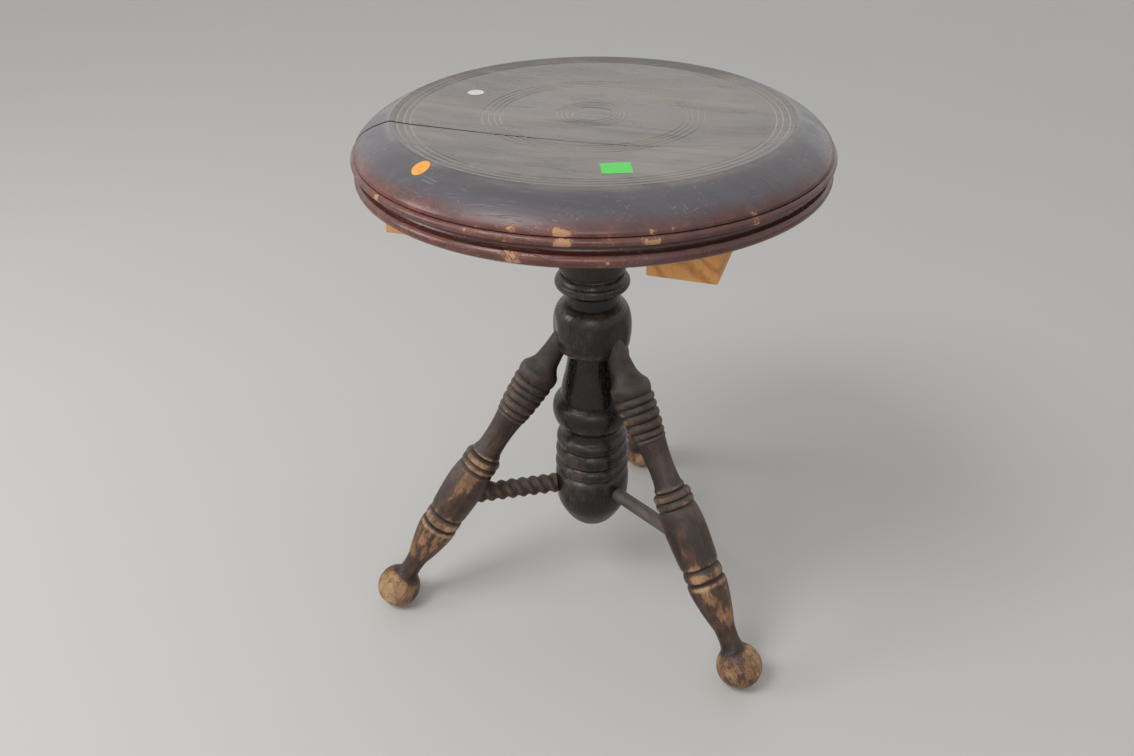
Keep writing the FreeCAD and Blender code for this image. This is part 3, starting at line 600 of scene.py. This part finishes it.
def seat_varnish(seat):
    """Dark red varnish with a grey painted sheen on its rubbed top, worn rings with a painted
    highlight, and a chipped moulded rim with painted shade in its hollows and towards +X.
    """
    material, graph, shader = new_material("seat varnish")
    place = graph.place()
    crest = graph.attribute("crest")
    parts = graph.add("ShaderNodeSeparateXYZ", {0: place}).outputs
    reach = graph.vector("LENGTH", graph.vector("MULTIPLY", place, (1, 1, 0)))
    grain = graph.effect("Wood Grain", vector=place, scale=110.0, stretch=0.05)
    grime_and_shade = graph.effect("Grime", vector=graph.squeezed(place, 0.45), crest=crest, scale=17.0)
    clouds = grime_and_shade["Clouds"]
    scratch = graph.effect("Scratches", vector=place, scale=800.0, stretch=0.045)
    low = graph.smooth(parts["Z"], *RED_BAND)
    knocked = graph.smooth(knocks(graph, parts), 0.0, 1.0, 0.3 * seat.wear, seat.wear)
    wear = graph.effect(
        "Worn Finish", vector=place, crest=crest, scale=150.0, edge=0.04,
        amount=graph.times(low, knocked),
    )

    look = seat_top_colour(graph, seat, reach, grain, clouds)
    red = graph.mix(grain["Streaks"], darker(seat.red, 0.6), seat.red)
    # the red rim is painted darker towards +X: painted shade on the side away from the light
    red = graph.over(red, darker(seat.red, 0.3), graph.smooth(parts["X"], *SHADED_SIDE, 0.0, 0.6))
    look = graph.over(look, red, low, graph.smooth(clouds, 1.0, 0.0, 0.75, 1.0))
    look = graph.over(look, THIN_RED, wear["Thin"], low, 0.4)
    look = graph.over(look, seat.bare, wear["Bare"])
    # the rim's hollows are painted darker: painted shade
    look = graph.over(look, RIM_GROOVE_SHADE, grime_and_shade["Hollows"], low, 0.6)

    # the crest and the rings are rubbed to pale lines; the rings also carry a painted highlight
    # that is strongest at the left and right
    look = graph.over(
        look, CREST_RUB, graph.smooth(reach, *CREST_INSIDE), graph.smooth(reach, *CREST_OUTSIDE),
        graph.smooth(clouds, 0.2, 0.9, 0.05, 0.25),
    )
    away = graph.math("MAXIMUM", reach, 0.001)
    aside = graph.math("DIVIDE", graph.math("ABSOLUTE", parts["X"]), away)
    highlit_sides = graph.smooth(aside, 0.5, 0.97, 0.18, 0.95)
    fade = graph.smooth(graph.noise(place, 9.0, 2.0), 0.36, 0.55, 0.35, 1.0)
    look = graph.over(look, RING_RUB_AND_HIGHLIGHT, graph.attribute("ring"), highlit_sides, fade)
    look = graph.over(look, SCRATCH, scratch["Lines"], 0.22)
    crack = hairline(graph, parts, seat.joint)
    look = graph.over(look, CRACK_DIRT, crack)

    rough = graph.plus(
        graph.smooth(clouds, 0.0, 1.0, 0.24, 0.40), graph.times(wear["Bare"], 0.35)
    )
    height = graph.weighted(
        (grain["Pores"], -0.25), (wear["Bare"], -0.6), (scratch["Dents"], -0.08), (crack, -1.0)
    )
    surface(graph, shader, look, rough, height, 0.0004)
    return material


def turned_finish(name, direction, finish, rubbed, bare, raw=None, scale=150.0, wear=0.2,
                  roughness=0.45, edge=0.12, gloss=0.35, dust=0.26, along=None):
    """A dark finish on turned wood, worn to bare wood on what stands out.
    With along, the wear grows as the piece's own length goes from the first value to the
    second, and once more on the ball foot, and the dust with its painted sheen grows the other way."""
    material, graph, shader = new_material(name)
    place = graph.place()
    crest = graph.attribute("crest")
    grained = laid_along(graph, place, direction)
    grain = graph.effect("Wood Grain", vector=grained, scale=220.0, stretch=0.07)
    grime_and_shade = graph.effect("Grime", vector=place, crest=crest, scale=45.0)
    clouds = grime_and_shade["Clouds"]
    scratch = graph.effect("Scratches", vector=grained, scale=900.0, stretch=0.06)
    if along:
        reached = graph.attribute("along")
        foot = graph.smooth(reached, *FOOT_WEAR, 0.0, 0.11)
        wear = graph.plus(graph.smooth(reached, *along, 0.0, wear), foot)
        dust = graph.smooth(reached, *DUST_AND_SHEEN_REACH, 0.1 * dust, 1.3 * dust)
    worn = graph.effect(
        "Worn Finish", vector=graph.squeezed(grained, 0.42), crest=crest, scale=scale,
        edge=edge, amount=wear,
    )

    mottle = graph.smooth(clouds, 0.0, 1.0, 0.35, 0.9)
    look = graph.over(darker(finish, 0.55), finish, grain["Streaks"], mottle)
    look = graph.over(look, rubbed, worn["Thin"], 0.8)
    wood = graph.mix(grain["Streaks"], darker(bare, 0.66), bare)
    wood = graph.over(wood, raw or bare, worn["Raw"])
    wood = graph.over(wood, darker(bare, 0.45), clouds, 0.5)
    look = graph.over(look, wood, worn["Bare"])
    specks = graph.math("MAXIMUM", grain["Pores"], scratch["Dents"])
    look = graph.over(look, darker(finish, 0.7), specks, 0.75)
    # the hollows are painted darker: painted shade
    look = graph.over(look, SHADE_IN_HOLLOWS, grime_and_shade["Hollows"], 0.7)
    look = graph.over(look, rubbed, scratch["Lines"], 0.45)
    normal = graph.add("ShaderNodeNewGeometry").outputs["Normal"]
    upward = graph.add("ShaderNodeSeparateXYZ", {0: normal}).outputs["Z"]
    # what faces up is painted lighter with dust and a painted sheen
    dust_and_sheen_cover = graph.smooth(upward, -0.1, 0.9, 0.0, dust)
    dust_and_sheen_cover = graph.times(dust_and_sheen_cover, graph.smooth(clouds, 1.0, 0.0, 0.5, 1.0))
    look = graph.over(look, DUST_AND_SHEEN, dust_and_sheen_cover)

    rough = graph.smooth(clouds, 0.0, 1.0, roughness, roughness + 0.12)
    rough = graph.plus(rough, graph.weighted((worn["Bare"], 0.28), (dust_and_sheen_cover, 0.6)))
    height = graph.weighted(
        (grain["Pores"], -0.3), (worn["Bare"], -0.55), (scratch["Dents"], -0.6),
        (grain["Streaks"], -0.12),
    )
    surface(graph, shader, look, rough, height, 0.0005)
    shader.inputs["Specular IOR Level"].default_value = gloss
    return material


def raw_pine(name):
    """Sawn pine, with growth rings running along Y and rings showing on the cut ends."""
    material, graph, shader = new_material(name)
    place = graph.place()
    warp = graph.noise(graph.vector("MULTIPLY", place, (1.0, 0.12, 1.0)), 22.0, 3.0)
    slant = graph.vector("DOT_PRODUCT", place, PINE_RING_NORMAL)
    band = graph.math("PINGPONG", graph.weighted((slant, 120.0), (warp, 6.0)), 1.0)
    late = graph.smooth(band, 0.35, 1.0)
    lengthwise = laid_along(graph, place, (0, 1, 0))
    grain = graph.effect("Wood Grain", vector=lengthwise, scale=260.0, stretch=0.04)
    clouds = graph.effect("Grime", vector=place, crest=0.0, scale=28.0)["Clouds"]
    look = graph.mix(late, PINE_EARLY, PINE_LATE)
    look = graph.over(look, PINE_STREAK, grain["Streaks"], 0.25)
    look = graph.over(look, PINE_PORE, grain["Pores"], 0.35)
    look = graph.over(look, PINE_DIRT, clouds, 0.2)
    rough = graph.smooth(late, 0.0, 1.0, 0.72, 0.55)
    height = graph.weighted((late, 0.4), (grain["Pores"], -0.5))
    surface(graph, shader, look, rough, height, 0.0004)
    return material


def old_metal(name, clean, dark, roughness, metallic):
    """Old iron or steel, dulled by oil and dust in patches."""
    material, graph, shader = new_material(name)
    place = graph.place()
    clouds = graph.effect("Grime", vector=place, crest=0.0, scale=70.0)["Clouds"]
    scratch = graph.effect("Scratches", vector=place, scale=700.0, stretch=0.05)
    look = graph.over(graph.mix(clouds, clean, dark), RUST, scratch["Dents"], 0.6)
    rough = graph.smooth(clouds, 0.0, 1.0, roughness, roughness + 0.22)
    surface(graph, shader, look, rough, graph.plus(scratch["Lines"], clouds), 0.0001)
    shader.inputs["Metallic"].default_value = metallic
    return material


def paper(name, tint):
    """A blank paper sticker with a faint fibre and some dirt."""
    material, graph, shader = new_material(name)
    place = graph.place()
    fibre = graph.noise(place, 900.0, 3.0)
    dirt = graph.noise(place, 160.0, 3.0)
    look = graph.mix(graph.smooth(fibre, 0.35, 0.7), darker(tint, 0.9), tint)
    look = graph.over(look, darker(tint, 0.6), graph.smooth(dirt, 0.6, 0.8, 0.0, 0.3))
    surface(graph, shader, look, graph.smooth(fibre, 0.2, 0.8, 0.55, 0.7), fibre, 0.0001)
    return material


# The pieces


def seat_outline(seat):
    """The seat from the middle of its underside round the rim to the middle of its top."""
    bottom, top = box_height("seat_board_middle")
    edge = seat.radius / MM
    crest = RING_GROOVES[-1]
    dish = seat.dish / MM
    flat = 90.0

    def height(radius):
        past = max(0.0, radius - flat) / (crest - flat)
        return top - dish * (1.0 - past**2)

    steps = [("at", 0, height(0))]
    for ring in RING_GROOVES:
        steps += [
            ("to", ring - RING_HALF_WIDTH, height(ring)),
            ("to", ring, height(ring) - seat.ring_depth / MM),
            ("to", ring + RING_HALF_WIDTH, height(ring)),
        ]
    across = edge - crest
    roll = [
        (crest + 0.36 * across, top - 4.6), (crest + 0.62 * across, top - 9.4),
        (crest + 0.79 * across, top - 13.9), (crest + 0.90 * across, top - 18.2),
        (edge - 2.6, top - 21.0),
    ]
    steps += [
        ("curve", roll),
        ("to", edge - 4.4, top - 22.0),
        ("via", edge, top - 24.8, edge - 2.6, top - 27.6),
        ("via", edge - 8.0, top - 31.0, edge - 3.4, top - 34.0),
        ("via", edge - 1.2, top - 38.4, edge - 4.6, top - 42.4),
        ("to", edge - 7.0, bottom),
        ("to", 0, bottom),
    ]
    return outline(steps)[::-1]


class STOOL_OT_add_seat(bpy.types.Operator):
    """Turn the seat and divide it into its three boards"""

    bl_idname = "stool.add_seat"
    bl_label = "Seat boards"

    def execute(self, context):
        seat = context.scene.stool_seat
        material = seat_varnish(seat)
        points = seat_outline(seat)
        front = (0, -seat.joint, 0)
        back = (0, seat.joint, 0)
        open_run = 0.19
        open_end = open_run - seat.radius - 5 * MM
        opened = Vector((-seat.split, open_run, 0)).normalized()
        ring_reach = 0.1475
        ring_height = 0.44
        ring_crest = -0.5
        cuts = {
            "seat_board_front": [(front, (0, 1, 0)), ((open_end, -seat.joint, 0), opened)],
            "seat_board_middle": [(front, (0, -1, 0)), (back, (0, 1, 0))],
            "seat_board_back": [(back, (0, -1, 0))],
        }
        for node, planes in cuts.items():
            bm = turned(points, FINE_STEPS_ROUND)
            ring = bm.verts.layers.float.new("ring")
            crest = bm.verts.layers.float["crest"]
            for vert in bm.verts:
                on_top = vert.co.xy.length < ring_reach and vert.co.z > ring_height
                vert[ring] = 1.0 if on_top and vert[crest] < ring_crest else 0.0
            for place, normal in planes:
                keep_side(bm, place, normal)
            finish_piece(bm, node + "_worn", "seat", [node], material, 28)
        return {"FINISHED"}


class STOOL_OT_add_battens(bpy.types.Operator):
    """Saw the two battens under the seat"""

    bl_idname = "stool.add_battens"
    bl_label = "Battens"

    def execute(self, context):
        material = raw_pine("raw pine")
        for node in ("batten_left", "batten_right"):
            low, high = map(Vector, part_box(node))
            low.z += context.scene.stool_seat.batten_lift
            bm = bmesh.new()
            bmesh.ops.create_cube(bm, size=1.0)
            bmesh.ops.scale(bm, vec=high - low, verts=bm.verts)
            bmesh.ops.translate(bm, vec=(high + low) / 2, verts=bm.verts)
            bmesh.ops.bevel(
                bm, geom=bm.edges[:], offset=0.8 * MM, segments=3, profile=0.5,
                affect="EDGES", material=-1,
            )
            finish_piece(bm, node + "_sawn", "seat", [node], material)
        return {"FINISHED"}


class STOOL_OT_add_stickers(bpy.types.Operator):
    """Lay the blank paper stickers on the seat"""

    bl_idname = "stool.add_stickers"
    bl_label = "Paper stickers"

    def execute(self, context):
        seat = context.scene.stool_seat
        points = seat_outline(seat)
        square = seat.sticker_side / 2
        dot = seat.sticker_dot / 2
        thickness = 0.1 * MM
        clearance = 0.05 * MM
        stickers = {
            "sticker_white": ((-0.102, 0.0226), dot, 0.0, (0.74, 0.74, 0.72)),
            "sticker_orange": ((-0.075, -0.135), dot, 0.0, (0.95, 0.40, 0.075)),
            "sticker_green": ((0.0477, -0.1031), square, 21.8, (0.13, 0.72, 0.13)),
        }
        for name, (place, half, turn, tint) in stickers.items():
            bm = bmesh.new()
            bmesh.ops.create_grid(bm, x_segments=16, y_segments=16, size=1.0)
            for vert in bm.verts:
                x, y = vert.co.xy
                if half == dot:
                    vert.co.x = x * math.sqrt(1 - y * y / 2)
                    vert.co.y = y * math.sqrt(1 - x * x / 2)
            lay = Matrix.Translation((*place, 0)) @ turned_by(turn)
            move(bm, lay @ Matrix.Scale(half, 4))
            for vert in bm.verts:
                under = height_on(points, vert.co.xy.length / MM) * MM
                vert.co.z = under + clearance + thickness
            bmesh.ops.solidify(bm, geom=bm.faces[:], thickness=thickness)
            finish_piece(bm, name, "seat", [], paper(name + " paper", tint))
        return {"FINISHED"}


def height_on(points, radius):
    """Height of the seat's top at a radius, found from the middle outwards."""
    inward = points[::-1]
    for (near, low), (far, high) in zip(inward, inward[1:]):
        if near <= radius <= far:
            return low + (high - low) * (radius - near) / max(far - near, 1e-6)
    raise ValueError("no seat at this radius")


class STOOL_OT_add_hub(bpy.types.Operator):
    """Turn the boss between the seat and the column"""

    bl_idname = "stool.add_hub"
    bl_label = "Hub"

    def execute(self, context):
        low, high = box_height("seat_hub")
        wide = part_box("seat_hub")[1][0] / MM
        hole = 12.9
        foot = 26.0
        neck = wide - 3.0
        rim = high - 9.0
        shares = ((0.06, 0.08), (0.17, 0.30), (0.34, 0.56), (0.62, 0.82), (1.0, 1.0))
        flare = [(foot + out * (neck - foot), low + up * (rim - low)) for out, up in shares]
        points = outline([
            ("at", hole, low), ("to", foot, low), ("curve", flare),
            ("via", wide, (rim + high) / 2, wide - 2.0, high),
            ("to", hole, high), ("to", hole, low),
        ])
        # the hub's finish carries painted shade under the seat
        material = turned_finish(
            "hub varnish and shade", (0, 0, 1), HUB_SHADED_FINISH, HUB_RUBBED, context.scene.stool_legs.bare,
            scale=120.0, wear=0.06, roughness=0.30, edge=0.04,
        )
        finish_piece(turned(points), "seat_hub_turned", "seat", ["seat_hub"], material)
        return {"FINISHED"}


def leg_outline(leg, length_mm):
    """A leg from the bottom of its ball to the end of its tenon."""
    ball = leg.ball / MM
    shoulder = length_mm + 16.0
    diagonal = ball * math.sqrt(0.5)
    steps = [
        ("at", 0, -ball),
        ("via", ball * math.cos(-0.8), ball * math.sin(-0.8), ball, 0),
        ("via", ball * math.cos(0.4), ball * math.sin(0.4), diagonal, diagonal),
        ("curve", [(10.2, 17.0), (8.8, 21.5), (8.6, 28), (9.3, 36.5), (12, 47),
                   (14.8, 60), (16.4, 70), (16.9, 77)]),
        ("to", 16.6, 78.6), ("to", 15.2, 80), ("to", 15.2, 81),
        ("via", 16.6, 86.5, 15.2, 92), ("to", 15.2, 93.4),
        ("curve", [(16.4, 96), (17.1, 105), (17.7, 118), (17.7, 130), (16.8, 140), (15.6, 146)]),
        ("to", 14.9, 147.4), ("via", 16.3, 151, 14.9, 154.6), ("via", 16.2, 157.7, 14.2, 160.6),
        ("to", 12.2, 161.8), ("via", 12.9, 164.2, 11.8, 166.6),
        ("curve", [(11.1, 171), (10.7, 181), (11.2, 194), (12.2, 203.5), (12.5, 206.6)]),
        ("via", 13.5, 208.3, 12.6, 210),
    ]
    here = 210.0
    for end, radius in ((216, 14.3), (224, 15.2), (232, 15.9), (238.5, 16.3), (245.5, 16.8)):
        steps.append(("via", radius, (here + end) / 2, radius - 1.5, end))
        here = end
    steps += [
        ("via", 16.9, 250.5, 16.2, 256),
        ("curve", [(13.2, 260.2), (10.8, 265.2), (9.7, 272), (8.8, 281), (8.2, shoulder)]),
        ("to", 0, shoulder),
    ]
    return outline(steps)


def leg_matrix(leg, degrees):
    """Stands a leg turned on the Z axis in its place."""
    tilt = math.atan2(leg.foot_circle - leg.top_reach, leg.top_height - leg.foot_height)
    lean = Matrix.Rotation(-tilt, 4, "Y")
    out = Matrix.Translation((leg.foot_circle, 0, leg.foot_height))
    return turned_by(degrees) @ out @ lean


class STOOL_OT_add_legs(bpy.types.Operator):
    """Turn the three legs with their ball feet"""

    bl_idname = "stool.add_legs"
    bl_label = "Legs"

    def execute(self, context):
        leg = context.scene.stool_legs
        rise = leg.top_height - leg.foot_height
        length_mm = math.hypot(leg.foot_circle - leg.top_reach, rise) / MM
        points = leg_outline(leg, length_mm)
        for node, degrees in LEG_ANGLES.items():
            matrix = leg_matrix(leg, degrees)
            material = turned_finish(
                node + " finish", matrix.col[2].xyz, leg.finish, leg.rubbed, leg.bare, leg.raw,
                wear=leg.wear, roughness=0.38, dust=leg.dust, along=LEG_WEAR,
            )
            bm = turned(points)
            move(bm, matrix)
            keep_side(bm, (0, 0, 0), (0, 0, -1))
            finish_piece(bm, node + "_turned", "base", [node], material)
        return {"FINISHED"}


def column_outline(column):
    """The column from its round foot over its collar and down its bore."""
    low, top = box_height("column")
    barrel = 32.6
    collar = 32.5
    bore = column.bore / MM
    bore_bottom = 170.0
    nut = 24.05
    nut_seat = top - 3.0
    return outline([
        ("at", 0, low),
        ("curve", [(6, low + 0.5), (13, low + 2.8), (20, low + 8.6), (25.6, low + 17),
                   (29.8, low + 25.5), (barrel - 0.9, low + 34), (barrel, low + 44),
                   (barrel, 121), (barrel - 0.8, 127)]),
        ("to", 29.6, 129.2), ("via", 32.4, 135, 29.4, 141), ("via", 31.9, 148.5, 28.8, 156),
        ("via", 31.0, 162, 27.6, 168), ("curve", [(26.6, 171.5), (27.2, 176), (29.2, 178.6)]),
        ("curve", [(32.6, 184), (34.0, 192), (32.6, 199.4), (28.2, 204)]),
        ("to", 27.2, 204.6),
        ("curve", [(27.0, 208), (24.7, 220), (22.5, 230), (21.0, 240), (20.6, 251)]),
        ("via", 28.4, 253.2, collar - 0.8, 261), ("curve", [(collar, 268), (collar, 276),
         (collar - 1.0, 283), (collar - 2.7, 288.6), (collar - 5.2, 292.4), (24.4, 294.4)]),
        ("to", 22.4, 295), ("to", 22.0, 302.6),
        ("curve", [(22.8, 305), (25.2, 307), (27.8, 308.4)]),
        ("via", 30.5, top - 8.8, 28.7, top - 3.8), ("curve", [(27.4, top - 1.4), (26.2, top)]),
        ("to", nut, top), ("to", nut, nut_seat), ("to", bore, nut_seat),
        ("to", bore, bore_bottom), ("to", 0, bore_bottom),
    ])


class STOOL_OT_add_column(bpy.types.Operator):
    """Turn the column and plane the collar's three flats"""

    bl_idname = "stool.add_column"
    bl_label = "Column"

    def execute(self, context):
        column = context.scene.stool_column
        bm = turned(column_outline(column), FINE_STEPS_ROUND)
        crest = bm.verts.layers.float["crest"]
        collar_low = 0.2515
        collar_high = 0.2985
        # the flats are marked as deep hollows, so the finish paints them near black: painted shade
        # on the flats
        shaded = -0.9
        collar = [v for v in bm.verts if collar_low < v.co.z < collar_high]
        for degrees in LEG_ANGLES.values():
            facing = turned_by(degrees).col[0].xyz
            for vert in collar:
                past = vert.co.dot(facing) - column.flat
                if past > 0:
                    vert.co -= facing * past
                    vert[crest] = shaded
        material = turned_finish(
            "column finish", (0, 0, 1), column.finish, column.rubbed, column.bare,
            scale=110.0, wear=0.13, roughness=0.18, edge=0.06, gloss=0.36, dust=0.06,
        )
        finish_piece(bm, "column_turned", "base", ["column"], material)
        return {"FINISHED"}


class STOOL_OT_add_stretchers(bpy.types.Operator):
    """Carve the rope-turned stretchers and cut the plain one"""

    bl_idname = "stool.add_stretchers"
    bl_label = "Stretchers"

    def execute(self, context):
        leg = context.scene.stool_legs
        column_face = 0.0329
        hole_bottom = 0.0206
        dowel_radius = 0.006
        for node, leg_name in CARVED_STRETCHERS.items():
            turn = turned_by(LEG_ANGLES[leg_name])
            material = turned_finish(
                node + " finish", turn.col[0].xyz, ROPE_FINISH, leg.rubbed,
                darker(leg.bare, 0.8), wear=0.22, edge=0.07,
            )
            bm = rope(leg, column_face, self.end(leg))
            move(bm, turn)
            finish_piece(bm, node + "_carved", "base", [node], material, 60)
        turn = turned_by(LEG_ANGLES["leg_right"])
        material = turned_finish(
            "plain stretcher finish", turn.col[0].xyz, DOWEL_FINISH, DOWEL_RUBBED, DOWEL_BARE,
            scale=90.0, wear=0.3,
        )
        bm = plain_rod(hole_bottom, self.end(leg), dowel_radius, leg.height)
        move(bm, turn)
        node = "stretcher_right"
        finish_piece(bm, node + "_plain", "base", [node], material)
        return {"FINISHED"}

    def end(self, leg):
        """Where a stretcher ends, just short of its leg's centre line."""
        short_of_leg = 0.004
        part = (leg.height - leg.foot_height) / (leg.top_height - leg.foot_height)
        return leg.foot_circle - part * (leg.foot_circle - leg.top_reach) - short_of_leg


def drawn_out(bm, slices, step, start, height):
    """Draws a bmesh's outline out by slices, each moved by step, closes it and lays it along X."""
    edges = bm.edges[:]
    for _ in range(slices):
        out = bmesh.ops.extrude_edge_only(bm, edges=edges)["geom"]
        verts = [v for v in out if isinstance(v, bmesh.types.BMVert)]
        edges = [e for e in out if isinstance(e, bmesh.types.BMEdge)]
        bmesh.ops.transform(bm, matrix=step, verts=verts)
    bmesh.ops.holes_fill(bm, edges=bm.edges, sides=0)
    lay = Matrix.Translation((start, 0, height)) @ Matrix.Rotation(math.pi / 2, 4, "Y")
    move(bm, lay)
    return bm


def plain_rod(start, end, radius, height):
    """A round rod lying along X."""
    bm = bmesh.new()
    bm.verts.layers.float.new("crest")
    bmesh.ops.create_circle(bm, cap_ends=False, radius=radius, segments=48)
    slices = 24
    step = Matrix.Translation((0, 0, (end - start) / slices))
    return drawn_out(bm, slices, step, start, height)


def rope(leg, start, end):
    """A two-strand rope along X, twisted slice by slice as it is drawn out."""
    bm = bmesh.new()
    crest = bm.verts.layers.float.new("crest")
    middle = (leg.rope_radius + leg.rope_core) / 2
    swing = (leg.rope_radius - leg.rope_core) / 2
    bmesh.ops.create_circle(bm, cap_ends=False, radius=middle, segments=64)
    for vert in bm.verts:
        around = math.atan2(vert.co.y, vert.co.x)
        lobe = math.cos(2 * around)
        vert.co.xy *= (middle + swing * lobe) / middle
        vert[crest] = lobe
    slices = 160
    long = (end - start) / slices
    twist = Matrix.Rotation(math.tau * long / leg.rope_pitch, 4, "Z")
    return drawn_out(bm, slices, Matrix.Translation((0, 0, long)) @ twist, start, leg.height)


class STOOL_OT_dress_metal(bpy.types.Operator):
    """Give the screws, plate, nut, washer and adjusting screw their metal"""

    bl_idname = "stool.dress_metal"
    bl_label = "Metal parts"

    def execute(self, context):
        iron = old_metal("old iron", (0.16, 0.15, 0.14), (0.06, 0.05, 0.045), 0.48, 0.85)
        spindle = old_metal("oiled steel", (0.42, 0.40, 0.38), (0.16, 0.13, 0.11), 0.28, 1.0)
        steel = old_metal("screw steel", (0.50, 0.48, 0.45), (0.24, 0.20, 0.17), 0.35, 1.0)
        finishes = {
            iron: ("seat_plate", "thrust_washer", "column_nut"),
            spindle: ("adjusting_screw",),
            steel: ("batten_screws", "hub_screws", "plate_screws", "nut_screws"),
        }
        for material, nodes in finishes.items():
            for node in nodes:
                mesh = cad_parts[node].data
                mesh.materials.clear()
                mesh.materials.append(material)
        return {"FINISHED"}


class STOOL_OT_add_stage(bpy.types.Operator):
    """Lay the floor, hang the lamps and set up the camera"""

    bl_idname = "stool.add_stage"
    bl_label = "Stage"

    def execute(self, context):
        stage = context.scene.stool_stage
        self.floor(stage)
        self.world(context.scene, stage)
        for name, place, size, setting, part in LAMPS:
            self.lamp(name, place, size, getattr(stage, setting) * part)
        self.camera(context.scene, stage)
        context.scene.view_settings.view_transform = "Standard"
        return {"FINISHED"}

    def floor(self, stage):
        bm = bmesh.new()
        bmesh.ops.create_grid(bm, x_segments=1, y_segments=1, size=6.0)
        mesh = bpy.data.meshes.new("floor")
        bm.to_mesh(mesh)
        bm.free()
        material, graph, shader = new_material("floor")
        cloud = graph.noise(graph.place(), 3.0, 4.0)
        tint = graph.mix(cloud, darker(stage.floor, 0.96), stage.floor)
        graph.put(shader, "Base Color", tint)
        shader.inputs["Roughness"].default_value = 0.6
        mesh.materials.append(material)
        linked("floor", mesh)

    def world(self, scene, stage):
        world = bpy.data.worlds.new("soft studio")
        scene.world = world
        world.use_nodes = True
        graph = Graph(world.node_tree)
        back = world.node_tree.nodes["Background"]
        path = graph.add("ShaderNodeLightPath").outputs
        seen = graph.math("MAXIMUM", path["Is Camera Ray"], path["Is Glossy Ray"])
        seen = graph.math("MAXIMUM", seen, path["Is Transmission Ray"])
        back.inputs["Color"].default_value = (1, 1, 1, 1)
        graph.put(back, "Strength", graph.smooth(seen, 0.0, 1.0, stage.world, 1.0))

    def lamp(self, name, place, size, power):
        data = bpy.data.lights.new(name, "AREA")
        data.energy = power
        data.size = size
        lamp = linked(name, data)
        lamp.location = place
        target = Vector((0, 0, 0.25))
        lamp.rotation_euler = (target - Vector(place)).to_track_quat("-Z", "Y").to_euler()

    def camera(self, scene, stage):
        data = bpy.data.cameras.new("camera")
        data.sensor_width = 36.0
        data.lens = stage.lens
        camera = linked("camera", data)
        flat = math.cos(stage.dip)
        forward = Vector((
            flat * math.cos(stage.heading), flat * math.sin(stage.heading), -math.sin(stage.dip)
        ))
        aimed = forward.to_track_quat("-Z", "Y").to_matrix().to_4x4()
        rolled = Matrix.Rotation(-stage.roll, 4, "Z")
        camera.matrix_world = Matrix.Translation(stage.place) @ aimed @ rolled
        scene.camera = camera


class STOOL_PT_parts(bpy.types.Panel):
    """Lists the stool's settings and the buttons that make its pieces"""

    bl_idname = "STOOL_PT_parts"
    bl_label = "Piano Stool"
    bl_space_type = "VIEW_3D"
    bl_region_type = "UI"
    bl_category = "Piano Stool"

    def draw(self, context):
        for group in SETTINGS:
            box = self.layout.box()
            settings = getattr(context.scene, group)
            for prop in settings.bl_rna.properties:
                if prop.identifier not in ("rna_type", "name"):
                    box.prop(settings, prop.identifier)
        for operator in OPERATORS:
            self.layout.operator(operator.bl_idname)


SETTINGS = {
    "stool_seat": SeatSettings,
    "stool_legs": LegSettings,
    "stool_column": ColumnSettings,
    "stool_stage": StageSettings,
}
OPERATORS = (
    STOOL_OT_add_seat,
    STOOL_OT_add_battens,
    STOOL_OT_add_stickers,
    STOOL_OT_add_hub,
    STOOL_OT_add_column,
    STOOL_OT_add_legs,
    STOOL_OT_add_stretchers,
    STOOL_OT_dress_metal,
    STOOL_OT_add_stage,
)


def register():
    for settings in SETTINGS.values():
        bpy.utils.register_class(settings)
    for name, settings in SETTINGS.items():
        setattr(bpy.types.Scene, name, bpy.props.PointerProperty(type=settings))
    for cls in (*OPERATORS, STOOL_PT_parts):
        bpy.utils.register_class(cls)


def unregister():
    for cls in reversed((*OPERATORS, STOOL_PT_parts)):
        bpy.utils.unregister_class(cls)
    for name in SETTINGS:
        delattr(bpy.types.Scene, name)
    for settings in reversed(SETTINGS.values()):
        bpy.utils.unregister_class(settings)


def main():
    register()
    for operator in OPERATORS:
        group, action = operator.bl_idname.split(".")
        getattr(getattr(bpy.ops, group), action)()


if __name__ == "__main__":
    main()
